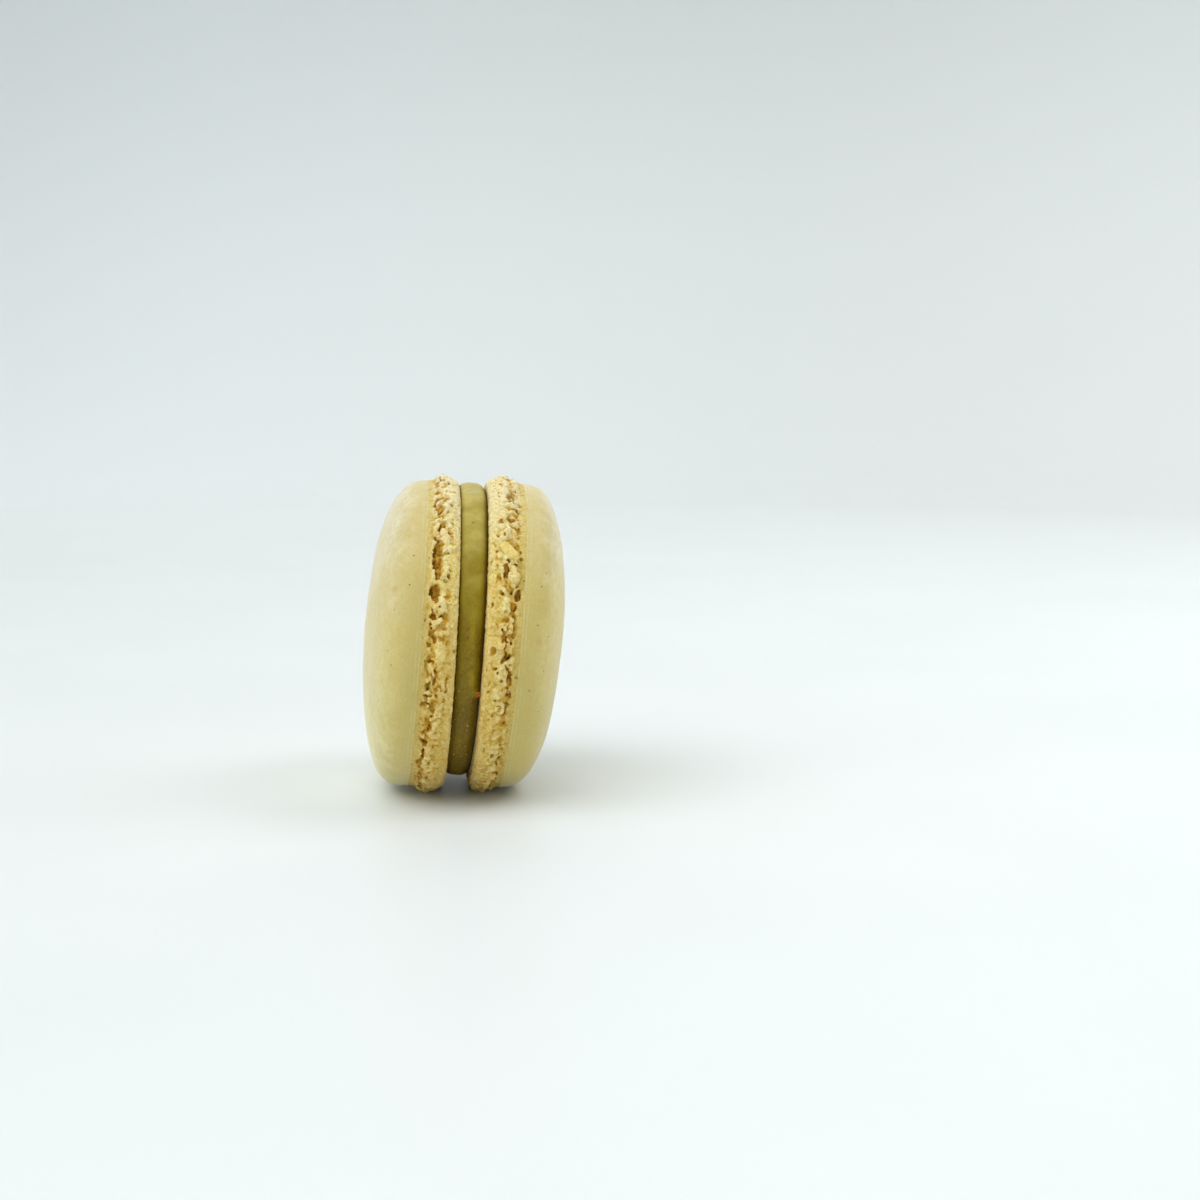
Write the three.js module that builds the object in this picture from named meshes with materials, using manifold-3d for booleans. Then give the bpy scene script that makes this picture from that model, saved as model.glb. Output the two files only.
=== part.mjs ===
// A French macaron standing on its rim: two almond-meringue shells with ruffled feet, and the
// round of ganache between them. Millimetres, +Z up. The axis of the macaron lies close to +X, and
// the feet of both shells rest on the plane z = 0, each on a small flat spot.
import * as THREE from "three";
import { mergeVertices } from "three/addons/utils/BufferGeometryUtils.js";
import Module from "manifold-3d";

const wasm = await Module();
wasm.setup();

// Driving dimensions of a shell.
const FOOT_RADIUS = 22.95; // over the foot, without its ruffles
const FOOT_HEIGHT = 3.3; // from the flat side to the crack above the foot
const BASE_EDGE_RADIUS = 21.45; // of the flat side that faces the filling
const DOME_RADIUS = 22.15; // at the crease, where the smooth dome ends
const CREASE_HEIGHT = 4.95; // from the flat side to the crease
const CREASE_LIP = 0.12; // how far the edge of the dome's skin stands out
const CRACK_DEPTH = 0.6; // of the crack between the foot and the band under the crease

// How uneven a shell is: the most that each kind of unevenness moves its surface.
const OUTLINE_SWAY = 0.1; // of the whole rim, in and out
const RUFFLE_DEPTH = 0.5; // of the foot's ruffles, in and out
const RUFFLE_SWAY = 0.3; // of the foot's ruffles, along the axis
const HOLLOW_DEPTH = 0.55; // of the hollows in the crack
const CROWN_SWAY = 0.12; // of the dome, along the axis
const CORE_RADIUS = 17; // the unevenness of the rim starts here
const RIM_RADIUS = 20; // and has its full strength from here

// Driving dimensions of the filling.
const FILLING_RADIUS = 21.4;
const FILLING_THICKNESS = 3.7;
const FILLING_BULGE = 1.5; // how far its rim stands out past its two flat sides
const FILLING_OUTLINE_SWAY = 0.3;
const FILLING_SIDE_SWAY = 0.15;
const FILLING_SEED = 53;
const JOINT_GAP = 0.3; // between the filling's solid and each shell's flat side

// How the macaron stands.
const LEAN = THREE.MathUtils.degToRad(4); // of the whole macaron, its top towards +X
const WEDGE = THREE.MathUtils.degToRad(0.2); // of each flat side against the filling
const FLAT_SPOT_DEPTH = 0.33; // how far the middle of the macaron sinks its feet into the plane
const FILLING_RISE = 0.7; // how far the filling sits above the middle of the shells
const LEFT_SHELL_DROP = 0.3; // the left shell sits this much lower than the right one

// Fineness of the solids.
const SHELL_SEGMENTS = 96;
const FILLING_SEGMENTS = 80;
const DOME_STEPS = 9;
const FOOT_STEPS = 6;
const FILLING_RIM_STEPS = 8;

const LEFT_SHELL = {
  name: "shell_left",
  side: -1,
  domeHeight: 7.5,
  domeFullness: 2.9,
  creaseTilt: THREE.MathUtils.degToRad(-0.8),
  drop: LEFT_SHELL_DROP,
  seed: 11,
};
const RIGHT_SHELL = {
  name: "shell_right",
  side: 1,
  domeHeight: 7.3,
  domeFullness: 2.7,
  creaseTilt: THREE.MathUtils.degToRad(1.35),
  drop: 0,
  seed: 29,
};

const BISCUIT = new THREE.MeshStandardMaterial({ color: 0xddd09a, roughness: 0.62, metalness: 0 });
const GANACHE = new THREE.MeshStandardMaterial({ color: 0x9c8a3c, roughness: 0.42, metalness: 0 });

// Numbers from 0 to 1 that are the same on every run.
function seededRandom(seed) {
  let state = seed;
  return () => {
    state = (state * 1664525 + 1013904223) % 4294967296;
    return state / 4294967296;
  };
}

// A smooth unevenness round the rim, between about -1 and 1: waves that fit a whole number of
// times, each with its own phase and strength.
function rimWaves(random, waveCounts) {
  const waves = waveCounts.map((count) => ({
    count,
    phase: 2 * Math.PI * random(),
    strength: (0.6 + 0.8 * random()) / waveCounts.length,
  }));
  return (angle) =>
    waves.reduce((sum, w) => sum + w.strength * Math.sin(w.count * angle + w.phase), 0);
}

// 0 below `from`, 1 above `to`, smooth between them.
const ramp = (value, from, to) => THREE.MathUtils.smoothstep(value, from, to);

// The height of the dome above its crease at a share of its radius.
const domeRise = (share, height, fullness) => height * (1 - share * share) ** (1 / fullness);

// Half the cross-section of a shell, from the middle of its flat side out over the foot, the
// crack and the crease to the crown: x is the radius and y the height above the flat side.
function shellProfile({ domeHeight, domeFullness }) {
  const foot = new THREE.SplineCurve([
    new THREE.Vector2(BASE_EDGE_RADIUS, 0),
    new THREE.Vector2(FOOT_RADIUS - 0.5, 0.55),
    new THREE.Vector2(FOOT_RADIUS, 1.7),
    new THREE.Vector2(FOOT_RADIUS - 0.25, FOOT_HEIGHT - 0.6),
    new THREE.Vector2(DOME_RADIUS - CRACK_DEPTH, FOOT_HEIGHT),
  ]).getPoints(FOOT_STEPS);
  const band = [
    new THREE.Vector2(DOME_RADIUS - 0.12, FOOT_HEIGHT + 0.35),
    new THREE.Vector2(DOME_RADIUS, CREASE_HEIGHT - 0.3),
    new THREE.Vector2(DOME_RADIUS + CREASE_LIP, CREASE_HEIGHT),
  ];
  const dome = [];
  for (let i = 1; i <= DOME_STEPS; i++) {
    const share = Math.cos((i / DOME_STEPS) * (Math.PI / 2)) ** 0.9;
    const rise = domeRise(share, domeHeight, domeFullness);
    dome.push(new THREE.Vector2(DOME_RADIUS * share, CREASE_HEIGHT + rise));
  }
  dome[dome.length - 1].x = 0;
  return [new THREE.Vector2(0, 0), ...foot, ...band, ...dome];
}

// Moves every vertex of a lathe by what `change` does to its radius, angle and height. The lathe
// turns about y, and the angle is measured from x towards z.
function reshape(geometry, change) {
  const position = geometry.getAttribute("position");
  for (let i = 0; i < position.count; i++) {
    const radius = Math.hypot(position.getX(i), position.getZ(i));
    const angle = Math.atan2(position.getZ(i), position.getX(i));
    const made = change(radius, angle, position.getY(i));
    position.setXYZ(i, made.radius * Math.cos(angle), made.height, made.radius * Math.sin(angle));
  }
}

// The geometry with only positions, its shared vertices merged.
function closed(geometry) {
  geometry.deleteAttribute("normal");
  geometry.deleteAttribute("uv");
  return mergeVertices(geometry, 1e-4);
}

// One shell: flat side at y = 0, crown towards +y. The ruffles swell and pinch the foot, the
// crack deepens into hollows, and the crease is tilted a little against the flat side.
function shellGeometry(shell) {
  const random = seededRandom(shell.seed);
  const outline = rimWaves(random, [2, 3, 5]);
  const ruffles = rimWaves(random, [13, 19, 27, 38]);
  const ledge = rimWaves(random, [11, 17, 31]);
  const hollows = rimWaves(random, [16, 23, 37]);
  const crown = rimWaves(random, [1, 2, 3]);
  const geometry = new THREE.LatheGeometry(shellProfile(shell), SHELL_SEGMENTS);
  reshape(geometry, (radius, angle, height) => {
    const onRim = ramp(radius, CORE_RADIUS, RIM_RADIUS);
    const onFoot = ramp(height, 0.1, 1) * (1 - ramp(height, FOOT_HEIGHT - 0.7, FOOT_HEIGHT));
    const aboveFoot = ramp(height, FOOT_HEIGHT - 0.8, FOOT_HEIGHT);
    const inCrack = aboveFoot * (1 - ramp(height, FOOT_HEIGHT, FOOT_HEIGHT + 0.7));
    const onDome = ramp(height, CREASE_HEIGHT, CREASE_HEIGHT + 4);
    const tilt = Math.tan(shell.creaseTilt) * radius * Math.sin(angle);
    const ruffle = RUFFLE_DEPTH * onFoot * ruffles(angle);
    const hollow = HOLLOW_DEPTH * inCrack * hollows(angle);
    return {
      radius: radius + onRim * (OUTLINE_SWAY * outline(angle) + ruffle + hollow),
      height:
        height +
        Math.min(height / CREASE_HEIGHT, 1) * tilt +
        onRim * onFoot * RUFFLE_SWAY * ledge(angle) +
        onDome * CROWN_SWAY * crown(angle) * (radius / DOME_RADIUS),
    };
  });
  return closed(geometry);
}

// The round of ganache, its thickness along y. Its rim bulges, and it is a little uneven all round.
function fillingGeometry() {
  const half = FILLING_THICKNESS / 2 - JOINT_GAP;
  const rim = [];
  for (let i = 0; i <= FILLING_RIM_STEPS; i++) {
    const turn = (i / FILLING_RIM_STEPS - 0.5) * Math.PI;
    const out = Math.cos(turn) ** 0.8;
    rim.push(new THREE.Vector2(FILLING_RADIUS - FILLING_BULGE * (1 - out), half * Math.sin(turn)));
  }
  const profile = [new THREE.Vector2(0, -half), ...rim, new THREE.Vector2(0, half)];
  const random = seededRandom(FILLING_SEED);
  const outline = rimWaves(random, [3, 5, 8, 13]);
  const sway = rimWaves(random, [3, 4, 7]);
  const geometry = new THREE.LatheGeometry(profile, FILLING_SEGMENTS);
  reshape(geometry, (radius, angle, height) => {
    const onRim = ramp(radius, CORE_RADIUS, RIM_RADIUS);
    const inMiddle = 1 - (height / half) ** 2;
    return {
      radius: radius + onRim * FILLING_OUTLINE_SWAY * outline(angle),
      height: height + onRim * inMiddle * FILLING_SIDE_SWAY * sway(angle),
    };
  });
  return closed(geometry);
}

function solidOf(geometry) {
  const mesh = new wasm.Mesh({
    numProp: 3,
    vertProperties: geometry.getAttribute("position").array,
    triVerts: new Uint32Array(geometry.index.array),
  });
  return new wasm.Manifold(mesh);
}

function geometryOf(solid) {
  const { vertProperties, triVerts } = solid.getMesh();
  return new THREE.BufferGeometry()
    .setAttribute("position", new THREE.BufferAttribute(vertProperties, 3))
    .setIndex(new THREE.BufferAttribute(triVerts, 1));
}

// Takes off what reaches below the resting plane, which leaves a flat spot on it.
function restOnPlane(geometry) {
  const depth = 10;
  const width = 5 * FOOT_RADIUS;
  const below = new THREE.BoxGeometry(width, width, depth).translate(0, 0, -depth / 2);
  return geometryOf(solidOf(geometry).subtract(solidOf(closed(below))));
}

// Where each piece goes: the lathe's axis is turned from +y to +x or -x, the piece is moved along
// it and down, and then the whole macaron leans about its own centre and is lifted.
function placement(side, along, drop, wedge) {
  const turn = new THREE.Matrix4().makeRotationZ((-side * Math.PI) / 2);
  const tip = new THREE.Matrix4().makeRotationY(wedge);
  const move = new THREE.Matrix4().makeTranslation(side * along, 0, -drop);
  const lean = new THREE.Matrix4().makeRotationY(LEAN);
  const lift = new THREE.Matrix4().makeTranslation(0, 0, FOOT_RADIUS - FLAT_SPOT_DEPTH);
  return lift.multiply(lean).multiply(move).multiply(tip).multiply(turn);
}

function shellMesh(shell) {
  const along = FILLING_THICKNESS / 2;
  const place = placement(shell.side, along, shell.drop, shell.side * WEDGE);
  const mesh = new THREE.Mesh(restOnPlane(shellGeometry(shell).applyMatrix4(place)), BISCUIT);
  mesh.name = shell.name;
  return mesh;
}

function fillingMesh() {
  const place = placement(1, 0, -FILLING_RISE, 0);
  const mesh = new THREE.Mesh(fillingGeometry().applyMatrix4(place), GANACHE);
  mesh.name = "filling";
  return mesh;
}

// The origin is under the middle of the macaron's box, on the resting plane.
function centred(group) {
  const box = new THREE.Box3().setFromObject(group);
  const middle = box.getCenter(new THREE.Vector3());
  group.position.set(-middle.x, -middle.y, 0);
  return group;
}

const macaron = new THREE.Group();
macaron.name = "macaron";
macaron.add(shellMesh(LEFT_SHELL), fillingMesh(), shellMesh(RIGHT_SHELL));

export default centred(macaron);
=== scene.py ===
"""The looks of a french macaron that stands on its rim.

Each shell is two pieces: the foot, a crumbly ring meshed from a volume, and the smooth dome with
the core under it. The filling is a grid round its rim. The loose crumbs, an almond bit in the right
foot and a burnt flake at the filling are pieces of their own. Sizes are in millimetres until a mesh
is made. A shell has coordinates of its own: up and front lie in its flat side, and height runs from
the flat side to the crown. Angles go round the rim from the top towards the front.
"""
import math
from dataclasses import dataclass, replace

import bmesh
import bpy
import numpy as np
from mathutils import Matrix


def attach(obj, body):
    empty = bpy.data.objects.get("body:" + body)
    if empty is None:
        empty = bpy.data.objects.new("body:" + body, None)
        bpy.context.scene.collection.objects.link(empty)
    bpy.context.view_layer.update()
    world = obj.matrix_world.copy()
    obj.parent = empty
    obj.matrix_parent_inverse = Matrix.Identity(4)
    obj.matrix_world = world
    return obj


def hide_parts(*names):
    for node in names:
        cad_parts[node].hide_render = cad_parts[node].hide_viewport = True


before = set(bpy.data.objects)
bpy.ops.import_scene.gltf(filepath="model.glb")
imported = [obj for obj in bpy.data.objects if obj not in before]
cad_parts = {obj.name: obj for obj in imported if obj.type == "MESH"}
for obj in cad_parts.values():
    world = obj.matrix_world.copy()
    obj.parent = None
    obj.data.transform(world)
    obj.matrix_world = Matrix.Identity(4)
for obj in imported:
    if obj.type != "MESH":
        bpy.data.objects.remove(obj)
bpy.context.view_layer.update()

import openvdb
from mathutils import Euler, Matrix, Vector

MM = 0.001

# Driving dimensions of a shell, as in the CAD part.
FOOT_RADIUS = 22.95
DOME_RADIUS = 22.15
CREASE_HEIGHT = 4.95
FILLING_RADIUS = 21.3
FILLING_RISE = 0.7

# The outline of the rim from the flat side up to the crease: heights, and the radius at each.
HULL_HEIGHTS = (0.0, 0.1, 0.4, 0.9, 1.6, 2.4, 3.0, 3.5, 4.1, CREASE_HEIGHT)
HULL_RADII = (21.6, 21.95, 22.3, 22.6, 22.8, FOOT_RADIUS, 22.8, 22.45, 22.2, 22.15)

# The volume that the foot is meshed from.
VOXEL = 0.125
BLOCK_REACH = 24.0
BLOCK_LOW = -0.5
BLOCK_HIGH = 5.375
RING_INNER_RADIUS = 20.3
RING_TOP = 5.0
FAR = 0.5  # no distance in the volume is kept beyond this
CAVE_CEILING = 4.4  # the level that no cave goes beyond, about
CAVE_FLOOR = 21.1  # the radius that no cave goes below, about
LUMP_BLEND = 0.12  # how far the edge between the rim and a lump is rounded over
PLACED_LUMP_BLEND = 0.1
CAVE_BLEND = 0.05
SMALL_CAVE_BLEND = 0.04
WARP = 1.3  # how much the noise on the rim is bent out of shape
MESH_ADAPTIVITY = 0.012  # how far flat places may be meshed with larger triangles
FOOT_TRIANGLES = 190000

# The dome's grid, and the core that it carries down inside the foot.
DOME_RINGS = 162
CORE_RADIUS = 20.5
LIP = 0.02  # how far the edge of the dome stands out past the band under it
LIP_WIDTH = 0.12
CORE_BASE = 0.03  # how far the core stays clear of the flat side
CORE_OUTLINE = (  # radius and height, from the lip over the shelf under it down to the core's base
    (DOME_RADIUS + LIP * 0.8, CREASE_HEIGHT - 0.06), (DOME_RADIUS - 0.1, CREASE_HEIGHT - 0.12),
    (DOME_RADIUS - 0.8, CREASE_HEIGHT - 0.15), (CORE_RADIUS, CREASE_HEIGHT - 0.5),
    (CORE_RADIUS, 0.6), (CORE_RADIUS - 0.3, CORE_BASE), (CORE_RADIUS - 4, CORE_BASE),
)
TABLE_GAP = 0.02  # how far the dome stays above the table
PINHOLE_SPACING = 2.6  # of the cells that each hold at most one pinhole

# The grid round the filling.
FILLING_COLUMNS = 1000
FILLING_ROWS = 44
FILLING_HALF = 1.9  # half its thickness at the rim, about
FILLING_EDGE = 0.55  # how far its rim draws back at both sides
FILLING_SINK = 0.05  # how far its flat sides reach into the shells


@dataclass
class Cave:
    """A bubble that is open to the rim's surface, or a lump on it: its place, and its half sizes."""

    angle: float  # degrees round the rim
    height: float
    along: float  # half its length along the rim
    across: float  # half its width along the height
    depth: float  # how far it reaches below the surface
    slant: float = 0.0  # degrees that its length is turned from along the rim
    lean: float = 0.0  # degrees that its depth is turned towards the dome


@dataclass
class Shell:
    """A shell's own shape, and its place, which comes from its CAD node."""

    node: str
    seed: int  # of all its noise and random draws
    dome_height: float
    dome_fullness: float
    bottom_fullness: float  # how much fuller the dome is at the bottom than at the top
    crease_tilt: float  # degrees
    crack: tuple  # (angle, height) of the crack where it shows
    caves: tuple
    lumps: tuple
    pinholes: tuple  # (angle, radius) of those that show best
    stains: tuple  # (angle, radius) of faint brown spots
    tints_and_painted_light: tuple  # of the dome, from near the table to the top: its own tint, with painted highlight in the whiter top ones, and in the lowest ones painted bounce light on the left shell and painted shade on the right one
    centre: np.ndarray = None  # of the flat side, in the part's frame
    basis: np.ndarray = None  # up, front and the axis, as rows

    def place(self, local):
        """Points in this shell's coordinates, as points in the frame of the part."""
        return self.centre + local @ self.basis


LEFT = Shell(
    node="shell_left",
    seed=11,
    dome_height=7.5,
    dome_fullness=3.0,
    bottom_fullness=0.4,
    crease_tilt=-0.8,
    crack=((0, 3.1), (15, 2.7), (32, 2.8), (54, 3.1), (68, 3.3), (82, 3.4), (97, 2.7), (108, 2.7),
           (124, 3.4), (136, 3.7), (155, 3.3), (180, 3.2)),
    caves=(
        Cave(16, 2.65, 0.7, 0.65, 1.0),
        Cave(26, 2.9, 0.6, 0.55, 0.9),
        Cave(28, 2.1, 0.5, 0.4, 0.6),
        Cave(33, 3.1, 0.35, 0.35, 1.3),
        Cave(36, 2.7, 0.45, 0.4, 0.7),
        Cave(42, 2.7, 0.8, 0.4, 0.8),
        Cave(44, 1.7, 0.5, 0.14, 0.3, 30),
        Cave(52, 3.2, 1.3, 0.5, 1.2, -3),
        Cave(57, 3.1, 1.6, 0.55, 1.3),
        Cave(61, 3.0, 1.0, 0.42, 1.1),
        Cave(62, 1.7, 0.3, 0.25, 0.4),
        Cave(68, 3.35, 1.3, 0.65, 1.3),
        Cave(69, 1.5, 0.8, 0.28, 0.4, 20),
        Cave(77, 3.35, 0.45, 0.33, 0.9),
        Cave(77, 1.9, 0.7, 0.65, 0.8),
        Cave(82, 3.5, 0.6, 0.35, 0.55, -20),
        Cave(84, 2.2, 0.3, 0.6, 0.4),
        Cave(85, 1.3, 0.5, 0.2, 0.4, 15),
        Cave(86, 3.85, 0.45, 0.28, 0.7),
        Cave(92, 3.6, 0.2, 0.75, 0.35),
        Cave(97, 2.6, 1.1, 0.28, 0.7, 8),
        Cave(108, 3.9, 0.35, 0.45, 0.6),
        Cave(108, 2.75, 1.1, 0.28, 1.0, -6),
        Cave(115, 3.0, 1.0, 0.4, 0.7, -10),
        Cave(124, 3.4, 0.9, 0.3, 0.6, -30),
        Cave(136, 3.8, 0.6, 0.35, 0.6),
        Cave(88, 0.15, 0.2, 0.2, 0.5),
        Cave(98, 1.1, 0.8, 0.2, 0.3, 12),
    ),
    lumps=(
        Cave(5, 2.8, 1.0, 1.0, 0.2),
        Cave(21, 2.2, 0.7, 0.6, -0.1),
        Cave(36, 1.5, 0.8, 0.7, 0.1),
        Cave(49, 2.1, 0.9, 0.7, -0.15),
        Cave(73, 2.7, 0.7, 0.6, -0.15),
        Cave(90, 2.0, 0.8, 0.7, -0.2),
    ),
    pinholes=((90, 20.0), (95, 20.8), (54, 22.0), (65, 21.9), (113, 18.6), (74, 20.6)),
    stains=((66, 20.5),),
    # The whiter top colours are painted highlight, and the pale lowest ones painted bounce light from
    # the table.
    tints_and_painted_light=((236, 228, 168), (222, 209, 141), (221, 202, 136), (233, 219, 176), (244, 236, 212)),
)
RIGHT = Shell(
    node="shell_right",
    seed=29,
    dome_height=7.3,
    dome_fullness=2.9,
    bottom_fullness=0.0,
    crease_tilt=1.35,
    crack=((0, 3.0), (21, 3.0), (36, 2.5), (54, 3.4), (62, 2.6), (72, 3.6), (83, 2.5), (90, 2.9),
           (98, 3.6), (115, 3.3), (134, 3.4), (155, 3.0), (180, 3.0)),
    caves=(
        Cave(24, 2.8, 0.9, 0.7, 1.3),
        Cave(37, 2.7, 0.6, 0.6, 1.2),
        Cave(39, 1.5, 0.6, 0.35, 0.7),
        Cave(46, 1.2, 0.6, 0.12, 0.3, 30),
        Cave(52, 0.9, 0.25, 0.2, 0.4),
        Cave(54, 4.2, 0.3, 0.3, 0.6),
        Cave(60, 2.2, 1.3, 0.3, 1.0, -5),
        Cave(62, 1.3, 0.4, 0.35, 0.5),
        Cave(68, 3.95, 0.9, 0.45, 1.2, -8),
        Cave(73, 3.4, 0.8, 0.25, 0.9, -20),
        Cave(68, 1.8, 0.45, 0.2, 0.35, 10),
        Cave(77, 2.5, 0.7, 0.45, 0.5, -25),
        Cave(83, 2.4, 0.8, 0.2, 0.8),
        Cave(90, 2.85, 0.8, 0.35, 1.1, -30),
        Cave(88, 1.2, 0.55, 0.4, 0.4, -20),
        Cave(94, 1.4, 0.3, 0.3, 0.4),
        Cave(98, 3.6, 1.1, 0.22, 0.6),
        Cave(104, 3.85, 0.5, 0.22, 0.7),
        Cave(115, 3.3, 0.5, 0.3, 0.5),
        Cave(140, 2.6, 0.5, 0.45, 0.5),
    ),
    lumps=(
        Cave(4, 3.5, 1.0, 0.7, -0.1),
        Cave(14, 3.2, 0.7, 0.6, 0.0),
        Cave(17, 2.0, 0.9, 0.8, 0.2),
        Cave(34, 1.7, 0.7, 0.6, -0.1),
        Cave(39, 3.3, 0.7, 0.6, -0.1, 30),
        Cave(57, 1.2, 0.7, 0.7, 0),
        Cave(62, 3.2, 1.2, 1.0, -0.1),
        Cave(71, 2.3, 1.0, 0.8, 0.1),
        Cave(86, 3.4, 0.9, 0.6, -0.2),
    ),
    pinholes=((58, 21.5), (64, 21.8), (78, 21.9), (82, 20.6), (95, 20.8), (102, 22.0), (112, 20.9)),
    stains=((84, 21.7),),
    # The whiter top colours are painted highlight, and the darker lowest ones painted shade, as from
    # the small macaron beside it.
    tints_and_painted_light=((206, 189, 110), (215, 198, 123), (228, 210, 140), (243, 231, 192), (248, 242, 226)),
)


# ---- The frame of each shell ---------------------------------------------------------------------


def find_place(shell):
    """Reads a shell's place from its CAD node: the middle of its flat side, and its directions."""
    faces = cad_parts[shell.node].data.polygons
    largest = max(faces, key=lambda face: face.area)
    flat = [face for face in faces if face.normal.dot(largest.normal) > 0.9999]
    area = sum(face.area for face in flat)
    centre = sum((face.center * face.area for face in flat), Vector()) / area
    axis = -largest.normal
    up = (Vector((0, 0, 1)) - axis * axis.z).normalized()
    front = up.cross(axis)
    if front.y > 0:
        front = -front
    shell.centre = np.array(centre) / MM
    shell.basis = np.array((up, front, axis))


def sheared(shell, up, height):
    """The height above the flat side as it would be if the crease weren't tilted."""
    return height / (1 + math.tan(math.radians(shell.crease_tilt)) * up / CREASE_HEIGHT)


# ---- Noise ---------------------------------------------------------------------------------------

TURN = (0.5, 0.8, 1.1)  # that lattices and textures are turned by, so that no row of cells shows
LATTICE_TURN = np.array(Euler(TURN).to_matrix(), np.float32)


def scramble(x, y, z, seed):
    """A whole number for each cell of a lattice, as if thrown with dice."""
    code = x * np.uint32(374761393) + y * np.uint32(668265263) + z * np.uint32(2246822519)
    code = code + np.uint32(seed * 3266489917 % 2**32)
    code = (code ^ (code >> np.uint32(13))) * np.uint32(1274126177)
    return code ^ (code >> np.uint32(16))


def thrown(code):
    """Three numbers from 0 to 1 out of each whole number."""
    parts = [(code >> np.uint32(10 * i)) & np.uint32(1023) for i in range(3)]
    return [part.astype(np.float32) / 1023 for part in parts]


def in_lattice(points, size):
    """The cell of the turned lattice that each point is in, and its place inside that cell."""
    spot = np.tensordot(LATTICE_TURN, np.asarray(points, np.float32), 1) / np.float32(size)
    low = np.floor(spot)
    return low.astype(np.int32).view(np.uint32), spot - low


def noise(points, size, seed):
    """Smooth noise, mostly between -1 and 1, at points given as three rows. size is of its lumps."""
    cell, share = in_lattice(points, size)
    fade = share**3 * (share * (share * 6 - 15) + 10)
    total = np.zeros(share.shape[1:], np.float32)
    for corner in np.ndindex(2, 2, 2):
        slopes = thrown(scramble(*(cell[i] + np.uint32(corner[i]) for i in range(3)), seed))
        weight = np.float32(1.7)
        pull = np.float32(0)
        for i in range(3):
            weight = weight * (fade[i] if corner[i] else 1 - fade[i])
            pull = pull + (2 * slopes[i] - 1) * (share[i] - corner[i])
        total += weight * pull
    return total


def chips(points, size, seed):
    """Relief of rounded faces that each tilt their own way, like broken crumb, from -1 to 0.5."""
    cell, share = in_lattice(points, size)
    nearest = np.full(share.shape[1:], 9, np.float32)
    relief = np.zeros(share.shape[1:], np.float32)
    for corner in np.ndindex(3, 3, 3):
        code = scramble(*(cell[i] + np.uint32((corner[i] - 1) % 2**32) for i in range(3)), seed)
        offset = [share[i] + 1 - corner[i] - part for i, part in enumerate(thrown(code))]
        distance = offset[0] ** 2 + offset[1] ** 2 + offset[2] ** 2
        slopes = thrown(code * np.uint32(2654435761) ^ (code >> np.uint32(7)))
        tilt = sum((2 * slope - 1) * part for slope, part in zip(slopes, offset))
        closer = distance < nearest
        nearest[closer] = distance[closer]
        relief[closer] = tilt[closer] - 0.7 * distance[closer]
    return relief


def billow(points, size, seed):
    """Noise of round lumps with sharp creases between them, from about -0.5 to 1."""
    return 2.2 * np.abs(noise(points, size, seed)) - 0.5


def wave(angle, size, seed):
    """Noise along the rim, the same again after a full turn. size is a length on the rim."""
    ring = np.array((np.cos(angle), np.sin(angle), np.zeros_like(angle))) * FOOT_RADIUS
    return noise(ring, size, seed)


# ---- The volume of a foot ------------------------------------------------------------------------

BLOCK_AXES = (
    np.arange(-BLOCK_REACH, BLOCK_REACH + VOXEL / 2, VOXEL),
    np.arange(-BLOCK_REACH, BLOCK_REACH + VOXEL / 2, VOXEL),
    np.arange(BLOCK_LOW, BLOCK_HIGH + VOXEL / 2, VOXEL),
)
BLOCK_CORNER = np.array([axis[0] for axis in BLOCK_AXES])


def smooth_max(a, b, blend):
    """The larger of two distances, with the edge between them rounded over about blend."""
    share = np.clip(0.5 + 0.5 * (a - b) / blend, 0, 1)
    return b + (a - b) * share + blend * share * (1 - share)


def hull_radius(height):
    """The rim's radius at a height, without its unevenness."""
    return np.interp(height, HULL_HEIGHTS, HULL_RADII)


def window(centre, reach):
    """The voxels within reach of a place: their slices in the block, and their offsets from it."""
    slices = []
    offsets = []
    for axis, middle in zip(BLOCK_AXES, centre):
        first, last = np.searchsorted(axis, (middle - reach, middle + reach))
        slices.append(slice(first, last))
        offsets.append(axis[first:last] - middle)
    return tuple(slices), np.array(np.meshgrid(*offsets, indexing="ij"))


def ellipsoid(offsets, directions, half_sizes):
    """About the distance to an ellipsoid's surface, negative inside."""
    along = np.tensordot(directions, offsets, 1) / half_sizes[:, None, None, None]
    reach = np.sqrt((along**2).sum(0)) + 1e-6
    slope = np.sqrt(((along / half_sizes[:, None, None, None]) ** 2).sum(0)) + 1e-6
    return reach * (reach - 1) / slope


def directions_at(angle, slant, lean):
    """Along, across and out, as rows, for something on the rim that is turned by slant and lean."""
    along = np.array((-math.sin(angle), math.cos(angle), 0))
    level_out = np.array((math.cos(angle), math.sin(angle), 0))
    steep = math.radians(lean)
    across = math.cos(steep) * np.array((0, 0, 1.0)) + math.sin(steep) * level_out
    out = math.cos(steep) * level_out - math.sin(steep) * np.array((0, 0, 1.0))
    turn = math.radians(slant)
    return np.array((
        math.cos(turn) * along + math.sin(turn) * across,
        math.cos(turn) * across - math.sin(turn) * along,
        out,
    ))


def stamp(shell, thing, depth, sway):
    """The window and the distances of a cave or lump whose middle is depth below the hull."""
    angle = math.radians(thing.angle)
    lean = math.tan(math.radians(shell.crease_tilt)) / CREASE_HEIGHT
    radius = hull_radius(thing.height) - depth
    height = thing.height * (1 + lean * radius * math.cos(angle))
    centre = np.array((radius * math.cos(angle), radius * math.sin(angle), height))
    half_sizes = np.array((thing.along, thing.across, max(abs(thing.depth), thing.across)))
    slices, offsets = window(centre, half_sizes.max() + FAR)
    offsets = offsets + np.array([part[slices] for part in sway])
    return slices, ellipsoid(offsets, directions_at(angle, thing.slant, thing.lean), half_sizes)


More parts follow.
